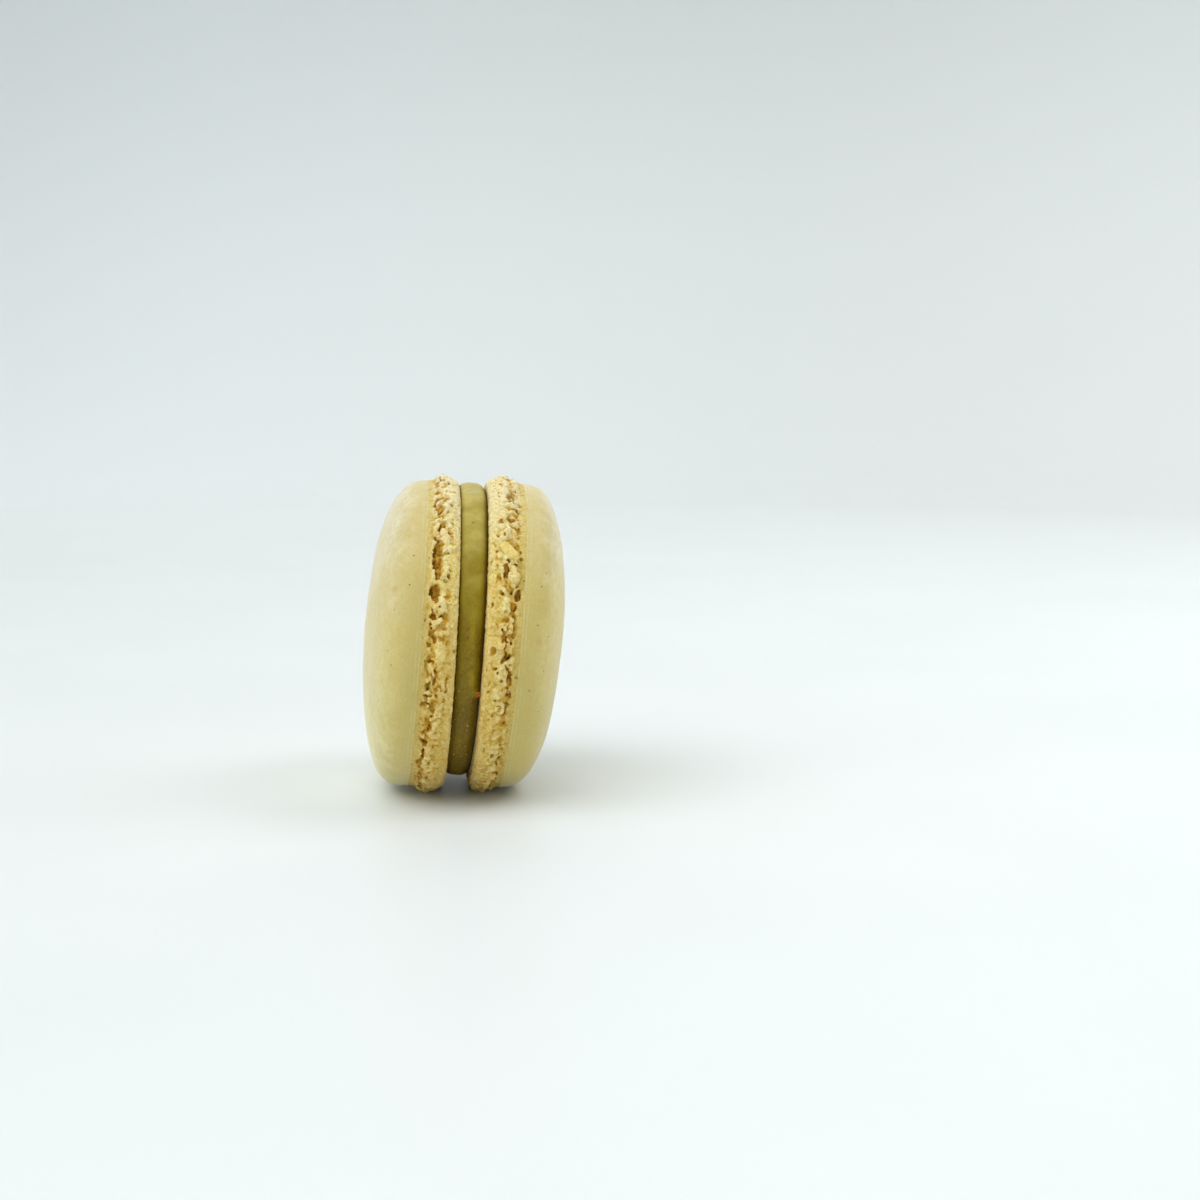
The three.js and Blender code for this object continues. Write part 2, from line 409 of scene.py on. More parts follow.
def nearest_thing(shell, things, sway, sunk):
    """Distances to the nearest of the caves or lumps, negative inside. sunk gives their depths."""
    nearest = np.full([len(axis) for axis in BLOCK_AXES], FAR, np.float32)
    for thing in things:
        slices, distance = stamp(shell, thing, sunk(thing), sway)
        nearest[slices] = np.minimum(nearest[slices], distance)
    return nearest


# Random things on the rim: their count, heights, half widths, the greatest ratio of length to
# width, and depth as a share of the half width.
SMALL_LUMPS = (
    (150, (1.4, 3.3), (0.3, 0.8), 1.7, (0.3, 0.7)),  # nodules over the foot's middle
    (90, (0.4, 1.9), (0.2, 0.45), 1.8, (0.1, 0.4)),  # finer ones towards the filling
    (90, (3.3, 4.1), (0.18, 0.42), 1.6, (0.2, 0.5)),  # and towards the dome
)
BIG_BUBBLES = (60, (2.2, 3.9), (0.3, 0.6), 2.2, (0.8, 1.6))
SMALL_BUBBLES = (
    (90, (0.6, 3.9), (0.13, 0.26), 2.6, (0.8, 1.6)),
    (360, (0.1, 4.7), (0.08, 0.15), 1.8, (1.0, 1.8)),
)
HIDDEN_ANGLES = (150, 350)  # the part of the rim that the photo doesn't show, about


def random_things(rng, count, heights, sizes, longest, depths):
    """Caves or lumps all round the rim, as uneven as the ranges given."""
    things = []
    for _ in range(count):
        across = rng.uniform(*sizes)
        things.append(Cave(
            angle=rng.uniform(0, 360),
            height=rng.uniform(*heights),
            along=across * rng.uniform(1, longest),
            across=across,
            depth=rng.uniform(*depths) * across,
            slant=rng.normal(0, 25),
        ))
    return things


def ragged(cave, rng):
    """A placed cave as a shallow one with hollows round it and a deep one under its dome side."""
    parts = [replace(cave, depth=cave.depth * 0.8)]
    for _ in range(4):
        aside = rng.uniform(-0.9, 0.9) * cave.along / FOOT_RADIUS
        share = rng.uniform(0.25, 0.6)
        parts.append(Cave(
            angle=cave.angle + math.degrees(aside),
            height=cave.height + rng.uniform(-0.7, 0.7) * cave.across,
            along=cave.along * share,
            across=cave.across * share,
            depth=cave.depth * share,
            slant=rng.normal(cave.slant, 35),
        ))
    parts.append(replace(
        cave, height=cave.height + 0.35 * cave.across, along=cave.along * 0.8,
        across=cave.across * 0.7, depth=cave.depth * 1.25, lean=25,
    ))
    return parts


def hidden(thing):
    """True where no cave is listed."""
    return HIDDEN_ANGLES[0] < thing.angle < HIDDEN_ANGLES[1]


def all_kinds(rng, kinds):
    """The random things of each kind in a table, for the whole rim."""
    return [thing for kind in kinds for thing in random_things(rng, *kind)]


def big_bubbles(rng):
    """The larger caves where none is listed."""
    large = random_things(rng, *BIG_BUBBLES)
    return [part for cave in large if hidden(cave) for part in ragged(cave, rng)]


CRACK_BEHIND = 3.1  # its height where it isn't listed, about


def crack_height(shell, angle):
    """The height of the crack at each angle: as placed on the side that shows, wandering behind."""
    degrees = np.degrees(angle) % 360
    shown = np.interp(degrees, *zip(*shell.crack))
    behind = CRACK_BEHIND + 0.6 * wave(angle, 5, shell.seed + 1)
    share = np.clip((degrees - 170) / 15, 0, 1) * np.clip((360 - degrees) / 15, 0, 1)
    return shown * (1 - share) + behind * share + 0.25 * wave(angle, 1.2, shell.seed + 2)


def crack_field(shell, points, radius, height, sway):
    """Distances to the crack, a groove that wanders round the rim, negative inside it."""
    angle = np.arctan2(points[1], points[0])
    middle = crack_height(shell, angle)
    strength = np.clip(0.12 + 1.1 * wave(angle, 2.4, shell.seed + 3), 0.0, 1.1)
    depth = 0.05 + 0.95 * strength
    width = 0.04 + 0.26 * strength
    across = (height + 1.8 * sway[2] - middle) / width
    below = (radius + sway[0] - hull_radius(middle)) / depth
    return (np.hypot(across, below) - 1) * width


def groove(shell, points, height, sway):
    """How deep the groove round the crack is: soft on the foot's side, a ragged step at the band."""
    angle = np.arctan2(points[1], points[0])
    crack = crack_height(shell, angle)
    band_edge = (
        3.85 + 0.35 * wave(angle, 1.6, shell.seed + 18) + 0.2 * wave(angle, 0.5, shell.seed + 20)
    )
    band_edge = np.maximum(band_edge, crack + 0.3)
    depth = np.maximum(0.2 + 0.45 * wave(angle, 3.5, shell.seed + 14), 0.0)
    width = 0.55 + 0.25 * wave(angle, 2.5, shell.seed + 15)
    below = np.exp(-(np.maximum(crack - height, 0) / width) ** 2)
    above = 1 - ramp(height + 1.6 * sway[2], band_edge - 0.12, band_edge + 0.05)
    return depth * below * above


def ramp(value, start, end):
    """0 at start and 1 at end, smooth between them. The start may be above the end."""
    share = np.clip((value - start) / (end - start), 0, 1)
    return share * share * (3 - 2 * share)


def rim_sway(shell, points):
    """Three rows of offsets, which make the edges of caves and lumps wander."""
    return np.array([
        0.17 * noise(points, 0.8, shell.seed + 6 + i) + 0.11 * noise(points, 0.38, shell.seed + 40 + i)
        for i in range(3)
    ])


def nodular_share(level):
    """1 over the foot's knobbly middle, and 0 at its inner edge and on the band."""
    return ramp(level, 1.2, 2.2) * ramp(level, 4.2, 3.6)


def rim_surface(shell, points, radius, level, sway):
    """Distances to the rim's swelling surface and the groove in it, before lumps and caves."""
    slope = np.interp(level, (0, 0.1, 0.4, 0.9, 1.6), (0.35, 0.45, 0.7, 0.88, 1))
    on_foot = ramp(level, 0.1, 0.9) * ramp(level, 4.0, 3.3)
    nodular = nodular_share(level)
    upper = (0.75 + 0.5 * ramp(points[0], -12, 8)) * (1 - 0.6 * ramp(points[0], 21.5, 22.9))
    warped = points + WARP * sway
    swell = 0.2 * noise(points, 4.5, shell.seed + 4) * (0.2 + 0.8 * on_foot)
    swell += 0.4 * upper * nodular * billow(warped, 2.3, shell.seed + 5)
    swell += 0.27 * (0.1 + 0.9 * nodular) * billow(warped, 1.2, shell.seed + 16)
    surface = (radius - hull_radius(level)) * slope - swell
    surface += groove(shell, points, level, sway)
    return surface


def crumb_relief(shell, points, level, sway, calm):
    """How far the fine crumb stands out of the surface. calm is less than 1 on a placed lump."""
    on_band = ramp(level, 3.7, 4.2)
    at_edge = ramp(level, 0.8, 0.1)
    warped = points + WARP * sway
    broken = 0.03 + 0.1 * nodular_share(level)
    crumb = broken * (1 - on_band) * chips(warped, 0.95, shell.seed + 11)
    crumb += (
        0.05 * chips(points, 0.42, shell.seed + 12)
        + 0.12 * at_edge * chips(points, 0.7, shell.seed + 24)
    )
    crumb = calm * (crumb + 0.07 * noise(warped, 0.6, shell.seed + 21))
    crumb += 0.03 * (1 + 2 * at_edge) * noise(points, 0.27, shell.seed + 19)
    pores = 0.5 * np.maximum(noise(points, 0.5, shell.seed + 17) - 0.5, 0)
    return crumb - pores


def small_lump_depth(lump):
    """How far below the hull the middle of a random lump is."""
    return max(lump.along, lump.across) * 0.6 - lump.depth * 0.5


def foot_volume(shell):
    """Signed distances of a shell's foot, and how much of each voxel's surface is inside a cave."""
    up, front, height = np.meshgrid(*(axis.astype(np.float32) for axis in BLOCK_AXES), indexing="ij")
    radius = np.hypot(up, front)
    near = (radius > RING_INNER_RADIUS - 0.3) & (radius < BLOCK_REACH - VOXEL)
    points = np.array((up[near], front[near], height[near]))
    level = sheared(shell, points[0], points[2])
    at_radius = radius[near]
    sway_near = rim_sway(shell, points)
    sway = np.zeros((3, *radius.shape), np.float32)
    for part, values in zip(sway, sway_near):
        part[near] = values

    field = np.where(radius < RING_INNER_RADIUS, -FAR, FAR).astype(np.float32)
    field[near] = rim_surface(shell, points, at_radius, level, sway_near)
    rng = np.random.default_rng(shell.seed)
    lumps = nearest_thing(shell, all_kinds(rng, SMALL_LUMPS), sway, small_lump_depth)
    field = -smooth_max(-field, -lumps, LUMP_BLEND)
    lumps = nearest_thing(shell, shell.lumps, sway, lambda lump: 0.5 + lump.depth)
    field = -smooth_max(-field, -lumps, PLACED_LUMP_BLEND)
    calm = 1 - 0.75 * ramp(lumps[near], 0.2, 0.0)

    placed = [part for cave in shell.caves for part in ragged(cave, rng)]
    caves = nearest_thing(shell, big_bubbles(rng) + placed, sway, lambda cave: 0.0)
    crack = np.full_like(caves, FAR)
    crack[near] = crack_field(shell, points, at_radius, level, sway_near)
    caves = np.minimum(caves, crack)
    caves[near] = np.maximum(caves[near], level + 1.2 * sway_near[1] - CAVE_CEILING)
    caves[near] = np.maximum(caves[near], CAVE_FLOOR + 0.5 * sway_near[0] - at_radius)
    field = smooth_max(field, -caves, CAVE_BLEND)
    bubbles = nearest_thing(shell, all_kinds(rng, SMALL_BUBBLES), sway, lambda cave: 0.0)
    field = smooth_max(field, -bubbles, SMALL_CAVE_BLEND)
    cave_share = np.clip(0.7 - caves / 0.15, 0, 1)

    crumb = crumb_relief(shell, points, level, sway_near, calm)
    field[near] -= crumb * (1 - 0.5 * cave_share[near])
    return field, cave_share


def bounded(shell, field):
    """The foot's field, cut to a ring between the flat side, the dome and the resting plane."""
    up, front, height = np.meshgrid(*(axis.astype(np.float32) for axis in BLOCK_AXES), indexing="ij")
    level = sheared(shell, up, height)
    plane = shell.centre[2] + up * shell.basis[0, 2] + front * shell.basis[1, 2]
    plane = plane + height * shell.basis[2, 2]
    side = np.array((up, front, np.zeros_like(up)))[:, :, :, 0]
    base = 0.06 + 0.1 * chips(side, 0.8, shell.seed + 13) + 0.08 * noise(side, 0.35, shell.seed + 25)
    base = base[:, :, None]
    made = field
    for limit in (RING_INNER_RADIUS - np.hypot(up, front), base - height, level - RING_TOP, -plane):
        made = np.maximum(made, limit)
    return np.clip(made, -FAR, FAR)


def blurred(block, reach):
    """The mean of each voxel's surroundings, as far as reach voxels to every side."""
    for axis in range(3):
        edges = [(0, 0)] * 3
        edges[axis] = (reach + 1, reach)
        total = np.cumsum(np.pad(block, edges, mode="edge"), axis=axis, dtype=np.float64)
        count = block.shape[axis]
        upper = np.take(total, range(2 * reach + 1, 2 * reach + 1 + count), axis)
        lower = np.take(total, range(count), axis)
        block = ((upper - lower) / (2 * reach + 1)).astype(np.float32)
    return block


def sample(block, local):
    """The block's value at points in the shell's coordinates, blended between voxels."""
    spot = (local - BLOCK_CORNER) / VOXEL
    low = np.clip(np.floor(spot).astype(int), 0, np.array(block.shape) - 2)
    share = np.clip(spot - low, 0, 1)
    total = np.zeros(len(local))
    for corner in np.ndindex(2, 2, 2):
        weight = np.prod(np.where(corner, share, 1 - share), axis=1)
        x, y, z = (low + corner).T
        total += weight * block[x, y, z]
    return total


def meshed(field):
    """Points and triangles of the surface where the field is 0, in the shell's coordinates."""
    grid = openvdb.FloatGrid(FAR)
    grid.copyFromArray(field)
    grid.transform = openvdb.createLinearTransform(voxelSize=VOXEL)
    points, triangles, quads = grid.convertToPolygons(isovalue=0.0, adaptivity=MESH_ADAPTIVITY)
    halves = [quads[:, (0, 1, 2)], quads[:, (0, 2, 3)]]
    triangles = np.concatenate([triangles, *halves]).astype(np.int64)
    return points.astype(np.float64) + BLOCK_CORNER, triangles


def largest_part(points, triangles):
    """Only the largest connected part, without crumbs that hang in the air."""
    label = np.arange(len(points))
    while True:
        lowest = label[triangles].min(1)
        made = label.copy()
        for corner in range(3):
            np.minimum.at(made, triangles[:, corner], lowest)
        made = made[made]
        if np.array_equal(made, label):
            break
        label = made
    counts = np.bincount(label[triangles[:, 0]])
    triangles = triangles[label[triangles[:, 0]] == counts.argmax()]
    used = np.unique(triangles)
    renamed = np.zeros(len(points), int)
    renamed[used] = np.arange(len(used))
    return points[used], renamed[triangles]


# ---- Meshes --------------------------------------------------------------------------------------


def mesh_object(name, points, triangles, attributes=None):
    """A smooth object of points in millimetres, with a named number at each vertex if given."""
    mesh = bpy.data.meshes.new(name)
    mesh.vertices.add(len(points))
    mesh.vertices.foreach_set("co", (points * MM).astype(np.float32).ravel())
    mesh.loops.add(3 * len(triangles))
    mesh.loops.foreach_set("vertex_index", triangles.astype(np.int32).ravel())
    mesh.polygons.add(len(triangles))
    mesh.polygons.foreach_set("loop_start", np.arange(0, 3 * len(triangles), 3, dtype=np.int32))
    mesh.update(calc_edges=True)
    mesh.shade_smooth()
    for key, values in (attributes or {}).items():
        layer = mesh.attributes.new(key, "FLOAT", "POINT")
        layer.data.foreach_set("value", np.asarray(values, np.float32))
    made = bpy.data.objects.new(name, mesh)
    bpy.context.scene.collection.objects.link(made)
    return made


def outward(points, triangles):
    """The triangles, turned round if they face into the solid."""
    a, b, c = points[triangles].transpose(1, 0, 2)
    middle = points.mean(0)
    volume = np.einsum("ij,ij->i", a - middle, np.cross(b - middle, c - middle))
    return triangles if volume.sum() > 0 else triangles[:, ::-1]


HOLLOW_REACH = 3  # in voxels, of the surroundings that tell small dips from peaks
VALLEY_REACH = 8  # the same for wide dips


def make_foot(shell, material):
    """The crumbly ring between a shell's flat side and its dome."""
    field, cave_share = foot_volume(shell)
    solid = np.clip(0.5 - field / VOXEL, 0, 1)
    solid[:, :, BLOCK_AXES[2] < 0] = 0
    ring = bounded(shell, field)
    points, triangles = largest_part(*meshed(ring))
    level = sheared(shell, points[:, 0], points[:, 2])
    radius = np.hypot(points[:, 0], points[:, 1])
    # hollow, valley, cave and depth steer the painted shade in the crumb's colour.
    attributes = {
        "hollow": (sample(blurred(solid, HOLLOW_REACH), points) - 0.5) * 2,
        "valley": (sample(blurred(solid, VALLEY_REACH), points) - 0.5) * 2,
        "cave": sample(cave_share, points),
        "depth": hull_radius(level) - radius,
        "level": level,
    }
    placed = shell.place(points)
    made = mesh_object(shell.node + "_foot", placed, outward(placed, triangles), attributes)
    made.data.materials.append(material)
    made.modifiers.new("fewer triangles", "DECIMATE").ratio = FOOT_TRIANGLES / len(triangles)
    return made


def disc_grid(ring_sizes):
    """Triangles between rings of vertices, numbered from the one vertex in the middle outwards."""
    starts = np.concatenate(([0], np.cumsum(ring_sizes)))
    parts = []
    for i in range(1, len(ring_sizes)):
        inner, outer = ring_sizes[i - 1], ring_sizes[i]
        k = np.arange(outer)
        nearest = (k * inner) // outer
        following = ((k + 1) * inner) // outer
        a = starts[i] + k
        b = starts[i] + (k + 1) % outer
        c = starts[i - 1] + nearest % inner
        d = starts[i - 1] + following % inner
        parts.append(np.stack((a, b, c), 1))
        wide = following > nearest
        if inner > 1:
            parts.append(np.stack((b, d, c), 1)[wide])
    return np.concatenate(parts)


def dome_rings(shell):
    """A share of a quarter turn for each ring of the dome, evenly spaced along its outline."""
    turn = np.linspace(0, np.pi / 2, 6000)
    radius = DOME_RADIUS * np.sin(turn)
    rise = shell.dome_height * np.cos(turn) ** (2 / shell.dome_fullness)
    length = np.concatenate(([0], np.cumsum(np.hypot(np.diff(radius), np.diff(rise)))))
    step = np.linspace(0, 1, DOME_RINGS + 1)
    return np.interp(length[-1] * (1.2 * step - 0.2 * step**4), length, turn)


def dome_surface(shell):
    """Local points, their outward directions, and the way from the crease, for the dome's grid."""
    turns = dome_rings(shell)
    sizes = np.maximum(1, 6 * np.arange(DOME_RINGS + 1))
    turn = np.repeat(turns, sizes)
    angle = np.concatenate([2 * np.pi * np.arange(size) / size for size in sizes])
    fullness = shell.dome_fullness - shell.bottom_fullness * np.cos(angle)
    radius = DOME_RADIUS * np.sin(turn)
    rise = shell.dome_height * np.maximum(np.cos(turn), 0) ** (2 / fullness)
    tilt = math.tan(math.radians(shell.crease_tilt))
    up = radius * np.cos(angle)
    points = np.stack((up, radius * np.sin(angle), CREASE_HEIGHT + rise + tilt * up), 1)
    return points, angle, radius, rise, sizes


def grid_normals(points, triangles):
    """Unit normals of a mesh's vertices."""
    a, b, c = points[triangles].transpose(1, 0, 2)
    face = np.cross(b - a, c - a)
    total = np.zeros_like(points)
    for corner in range(3):
        for i in range(3):
            total[:, i] += np.bincount(triangles[:, corner], face[:, i], len(points))
    return total / (np.linalg.norm(total, axis=1, keepdims=True) + 1e-12)


def core_rows(shell, count):
    """The rows of vertices below the crease, down to the base of the core inside the foot."""
    tilt = math.tan(math.radians(shell.crease_tilt))
    rim = 2 * np.pi * np.arange(count) / count
    rows = []
    for radius, height in CORE_OUTLINE:
        lean = tilt * min(height / CREASE_HEIGHT, 1) if height > 0.1 else 0
        up = radius * np.cos(rim)
        rows.append(np.stack((up, radius * np.sin(rim), height + lean * up), 1))
    return rows


def dome_relief(shell, points, angle, way):
    """How far the skin stands out: slow drift, fine peel, and faint lines round the crease."""
    columns = points.T
    drift = 0.13 * noise(columns, 11, shell.seed + 20) + 0.05 * noise(columns, 4, shell.seed + 21)
    peel = 0.012 * noise(columns, 1.1, shell.seed + 22) + 0.006 * noise(columns, 0.5, shell.seed + 23)
    lines = 0.006 * noise(np.array((way, angle * 3, way * 0)), 0.3, shell.seed + 24)
    line_share = np.exp(-(((way - 1.8) / 1.8) ** 2))
    fade = np.clip(way / 1.2, 0, 1)
    return drift * fade + peel + lines * line_share


def make_dome(shell):
    """The smooth dome, its lip at the crease, and the core that it carries inside the foot."""
    points, angle, radius, rise, sizes = dome_surface(shell)
    way = np.sqrt(rise**2 + (DOME_RADIUS - radius) ** 2)
    rim_size = sizes[-1]
    hub = np.array([[0, 0, CORE_BASE]])
    everything = np.concatenate((points, *core_rows(shell, rim_size), hub))
    sizes = np.concatenate((sizes, [rim_size] * len(CORE_OUTLINE)))
    last = len(everything) - 1
    ring = last - rim_size + np.arange(rim_size)
    cap = np.stack((np.roll(ring, -1), ring, np.full(rim_size, last)), 1)
    triangles = np.concatenate((disc_grid(sizes), cap))
    normals = grid_normals(everything, triangles)
    if normals[0, 2] < 0:
        normals = -normals

    skin = len(points)
    everything[:skin] += normals[:skin] * dome_relief(shell, points, angle, way)[:, None]
    lip = LIP * np.exp(-((way / LIP_WIDTH) ** 2))
    outwards = np.stack((np.cos(angle), np.sin(angle), np.zeros(skin)), 1)
    everything[:skin] += outwards * lip[:, None]
    placed = shell.place(everything)
    placed[:, 2] = np.maximum(placed[:, 2], TABLE_GAP)
    attributes = {"way": np.concatenate((way, np.zeros(len(everything) - skin)))}
    made = mesh_object(shell.node + "_dome", placed, outward(placed, triangles), attributes)
    holes = [nearest(placed[:skin], on_dome(shell, *pinhole)) for pinhole in shell.pinholes]
    stains = [nearest(placed[:skin], on_dome(shell, *stain)) for stain in shell.stains]
    made.data.materials.append(dome_material(shell, holes, stains))
    return made


def on_dome(shell, angle, radius):
    """The point of the plain dome at an angle in degrees and a radius, in the part's frame."""
    turn = math.radians(angle)
    up = radius * math.cos(turn)
    fullness = shell.dome_fullness - shell.bottom_fullness * math.cos(turn)
    rise = shell.dome_height * (1 - (radius / DOME_RADIUS) ** 2) ** (1 / fullness)
    height = CREASE_HEIGHT + rise + math.tan(math.radians(shell.crease_tilt)) * up
    return shell.place(np.array((up, radius * math.sin(turn), height)))


def nearest(points, spot):
    """The one of the points that is closest to a spot."""
    return points[np.argmin(((points - spot) ** 2).sum(1))]


# ---- The filling ---------------------------------------------------------------------------------

# Places on the rim are an angle, and a place across it from -1 on the left to 1 on the right.
FLECKS = ((38.2, -0.12), (82, -0.15), (85.5, -0.2), (123, 0.12))
RIDGE = ((70, 0.1), (88, 0.05), (95, 0.15), (102, 0.35), (109, 0.7))  # points along a smear
RIDGE_HEIGHT = 0.14
RIDGE_WIDTH = 0.3
DRAWN_ANGLES = (80, 135, 150, 168, 290, 330)  # and how much further the rim draws back there
DRAWN_BACK = (0, 1, 0.6, -0.6, 0.5, 0)


def filling_frame():
    """The filling's middle, and its up, front and axis directions as rows."""
    middle = (LEFT.centre + RIGHT.centre) / 2
    axis = RIGHT.basis[2] - LEFT.basis[2]
    axis /= np.linalg.norm(axis)
    up = np.array((0, 0, 1.0)) - axis[2] * axis
    up /= np.linalg.norm(up)
    front = np.cross(axis, up)
    if front[1] > 0:
        front = -front
    return middle + FILLING_RISE * up, np.array((up, front, axis))


def on_filling(angle, across):
    """The point of a plain filling's rim at an angle in degrees, and across from -1 to 1."""
    middle, basis = filling_frame()
    turn = math.radians(angle)
    place = (FILLING_RADIUS * math.cos(turn), FILLING_RADIUS * math.sin(turn), FILLING_HALF * across)
    return middle + np.array(place) @ basis


def side_plane(shell, points, axis):
    """How far along axis each point is from where the filling ends inside a shell."""
    height = (points - shell.centre) @ shell.basis[2]
    return (FILLING_SINK - height) / (axis @ shell.basis[2])


def smear(angle, across):
    """The share of the smear's ridge at each place on the filling's rim."""
    angles, places = zip(*RIDGE)
    degrees = np.degrees(angle)
    in_range = np.clip((degrees - 64) / 20, 0, 1) * np.clip((111 - degrees) / 4, 0, 1)
    middle = np.interp(degrees, angles, places)
    return in_range * np.exp(-(((across - middle) / RIDGE_WIDTH) ** 2))


def filling_radius(angle, across, ridge):
    """The filling's uneven radius: drawn back at both sides, more on the right and lower down."""
    flat = np.array((
        np.cos(angle) * FILLING_RADIUS, np.sin(angle) * FILLING_RADIUS, FILLING_HALF * across,
    ))
    swell = 0.22 * wave(angle, 16, 70) + 0.1 * noise(flat, 4, 71) + 0.05 * noise(flat, 1.6, 72)
    swell += 0.012 * noise(flat, 0.5, 73) + 0.006 * noise(flat, 0.25, 74)
    lower = np.interp(np.degrees(angle), DRAWN_ANGLES, DRAWN_BACK)
    left_edge = 1.3 * FILLING_EDGE * np.maximum(-across, 0) ** 3.5
    right_edge = (2.2 + lower) * FILLING_EDGE * np.maximum(across, 0) ** 2.8
    drawn = left_edge + right_edge + 0.25 * np.maximum(lower, 0)
    return FILLING_RADIUS - drawn + swell + RIDGE_HEIGHT * ridge


def filling_triangles(hubs):
    """Triangles of the filling's rim, and of the flat sides round the two hubs."""
    index = np.arange(FILLING_COLUMNS * FILLING_ROWS).reshape(FILLING_COLUMNS, FILLING_ROWS)
    after = np.roll(index, -1, axis=0)
    quads = np.stack((index[:, :-1], after[:, :-1], after[:, 1:], index[:, 1:]), -1).reshape(-1, 4)
    caps = []
    for row, hub, order in ((0, hubs[0], 1), (-1, hubs[1], -1)):
        fan = np.stack((after[:, row], index[:, row], np.full(FILLING_COLUMNS, hub)), 1)
        caps.append(fan[:, ::order])
    return np.concatenate((quads[:, (0, 1, 2)], quads[:, (0, 2, 3)], *caps))


def make_filling():
    """The ganache between the shells, with its rim a little drawn back at both sides."""
    middle, basis = filling_frame()
    angle = np.repeat(2 * np.pi * np.arange(FILLING_COLUMNS) / FILLING_COLUMNS, FILLING_ROWS)
    step = np.tile(np.linspace(-1, 1, FILLING_ROWS), FILLING_COLUMNS)
    across = np.sin(step * np.pi / 2 * 0.98) / math.sin(np.pi / 2 * 0.98)
    ridge = smear(angle, across)
    radius = filling_radius(angle, across, ridge)
    foot = middle + radius[:, None] * (np.array((np.cos(angle), np.sin(angle))).T @ basis[:2])
    left = side_plane(LEFT, foot, basis[2])
    right = side_plane(RIGHT, foot, basis[2])
    along = left + (right - left) * (across + 1) / 2
    rim = foot + along[:, None] * basis[2]
    hubs = [middle + basis[2] * side_plane(side, middle[None], basis[2]) for side in (LEFT, RIGHT)]
    points = np.concatenate((rim, hubs))
    triangles = filling_triangles((len(rim), len(rim) + 1))
    attributes = {
        "ridge": np.append(ridge, (0, 0)),
        "across": np.append(across, (-1, 1)),
    }
    made = mesh_object("filling_ganache", points, outward(points, triangles), attributes)
    flecks = [nearest(rim, on_filling(*fleck)) for fleck in FLECKS]
    made.data.materials.append(filling_material(flecks))
    return made


# ---- Loose bits ----------------------------------------------------------------------------------

CRUMBS_ON_FILLING = (  # angle, place across, size
    (106, -0.7, 0.2), (109, -0.9, 0.15), (116, -0.4, 0.14), (119, -0.8, 0.15), (121, 0.25, 0.24),
    (123, 0.2, 0.16), (132, -0.2, 0.14), (133, 0.3, 0.14), (139, -0.5, 0.24), (140, 0.05, 0.18),
    (139, 0.5, 0.24), (144, 0.5, 0.15),
)
CRUMBS_ON_DOMES = (  # shell, angle, radius, size
    (LEFT, 92, 21.9, 0.26), (LEFT, 74, 22.1, 0.2), (LEFT, 97, 21.0, 0.14), (RIGHT, 121, 21.9, 0.26),
    (RIGHT, 138, 21.0, 0.2), (RIGHT, 146, 20.5, 0.22),
)
FLAKE_PLACE = (107.5, 0.93)  # angle, place across
FLAKE_SIZES = (0.42, 0.62, 0.13)  # half its length along the rim, across it, and through
FLAKE_LIFT = 0.1  # how far its middle stands out of the filling
ALMOND_PLACE = (52.5, 2.7)  # angle, height
ALMOND_SIZES = (1.75, 0.78, 0.6)  # half its length, width and thickness
ALMOND_SLANT = 40  # degrees that its length is turned from along the rim
ALMOND_SUNK = -0.1  # how far its middle is below the rim's surface


def round_shape(steps):
    """The points and triangles of a ball of radius 1."""
    shape = bmesh.new()
    bmesh.ops.create_icosphere(shape, subdivisions=steps, radius=1)
    points = np.array([vertex.co for vertex in shape.verts])
    triangles = np.array([[vertex.index for vertex in face.verts] for face in shape.faces])
    shape.free()
    return points, triangles


def on_surface(piece, spot):
    """The vertex of a piece that is closest to a spot."""
    points = np.empty(3 * len(piece.data.vertices), np.float32)
    piece.data.vertices.foreach_get("co", points)
    return nearest(points.reshape(-1, 3).astype(np.float64) / MM, spot)


def make_crumbs(filling, domes):
    """A few pale grains that lie on the filling and on the domes."""
    rng = np.random.default_rng(5)
    ball, faces = round_shape(2)
    places = []
    for angle, across, size in CRUMBS_ON_FILLING:
        places.append((on_surface(filling, on_filling(angle, across)), size))
    for shell, angle, radius, size in CRUMBS_ON_DOMES:
        places.append((on_surface(domes[shell.node], on_dome(shell, angle, radius)), size))
    points = []
    triangles = []
    for i, (place, size) in enumerate(places):
        turn = np.array(Euler(rng.uniform(0, 6, 3)).to_matrix())
        uneven = 1 + 0.35 * noise(ball.T * 0.9 + 10 * i, 1.0, 90)[:, None]
        grain = (ball * uneven * rng.uniform(0.6, 1.0, 3)) @ turn
        points.append(place + grain * size / 2)
        triangles.append(faces + i * len(ball))
    made = mesh_object("loose_crumbs", np.concatenate(points), np.concatenate(triangles))
    made.data.materials.append(crumb_material())
    return made


def make_almond(shell):
    """The bit of almond that set fast in the right shell's foot in the oven."""
    angle, height = ALMOND_PLACE
    turn = math.radians(angle)
    radius = float(hull_radius(height)) - ALMOND_SUNK
    place = np.array((radius * math.cos(turn), radius * math.sin(turn), height))
    ball, triangles = round_shape(5)
    squared = ball / (np.abs(ball) ** 3).sum(1, keepdims=True) ** (1 / 3)
    uneven = 1 + 0.14 * noise(ball.T, 0.9, 97) + 0.03 * noise(ball.T, 0.3, 98)
    local = place + squared * uneven[:, None] * ALMOND_SIZES @ directions_at(turn, ALMOND_SLANT, 0)
    points = shell.place(local)
    made = mesh_object("almond_bit", points, outward(points, triangles))
    made.data.materials.append(almond_material())
    return made


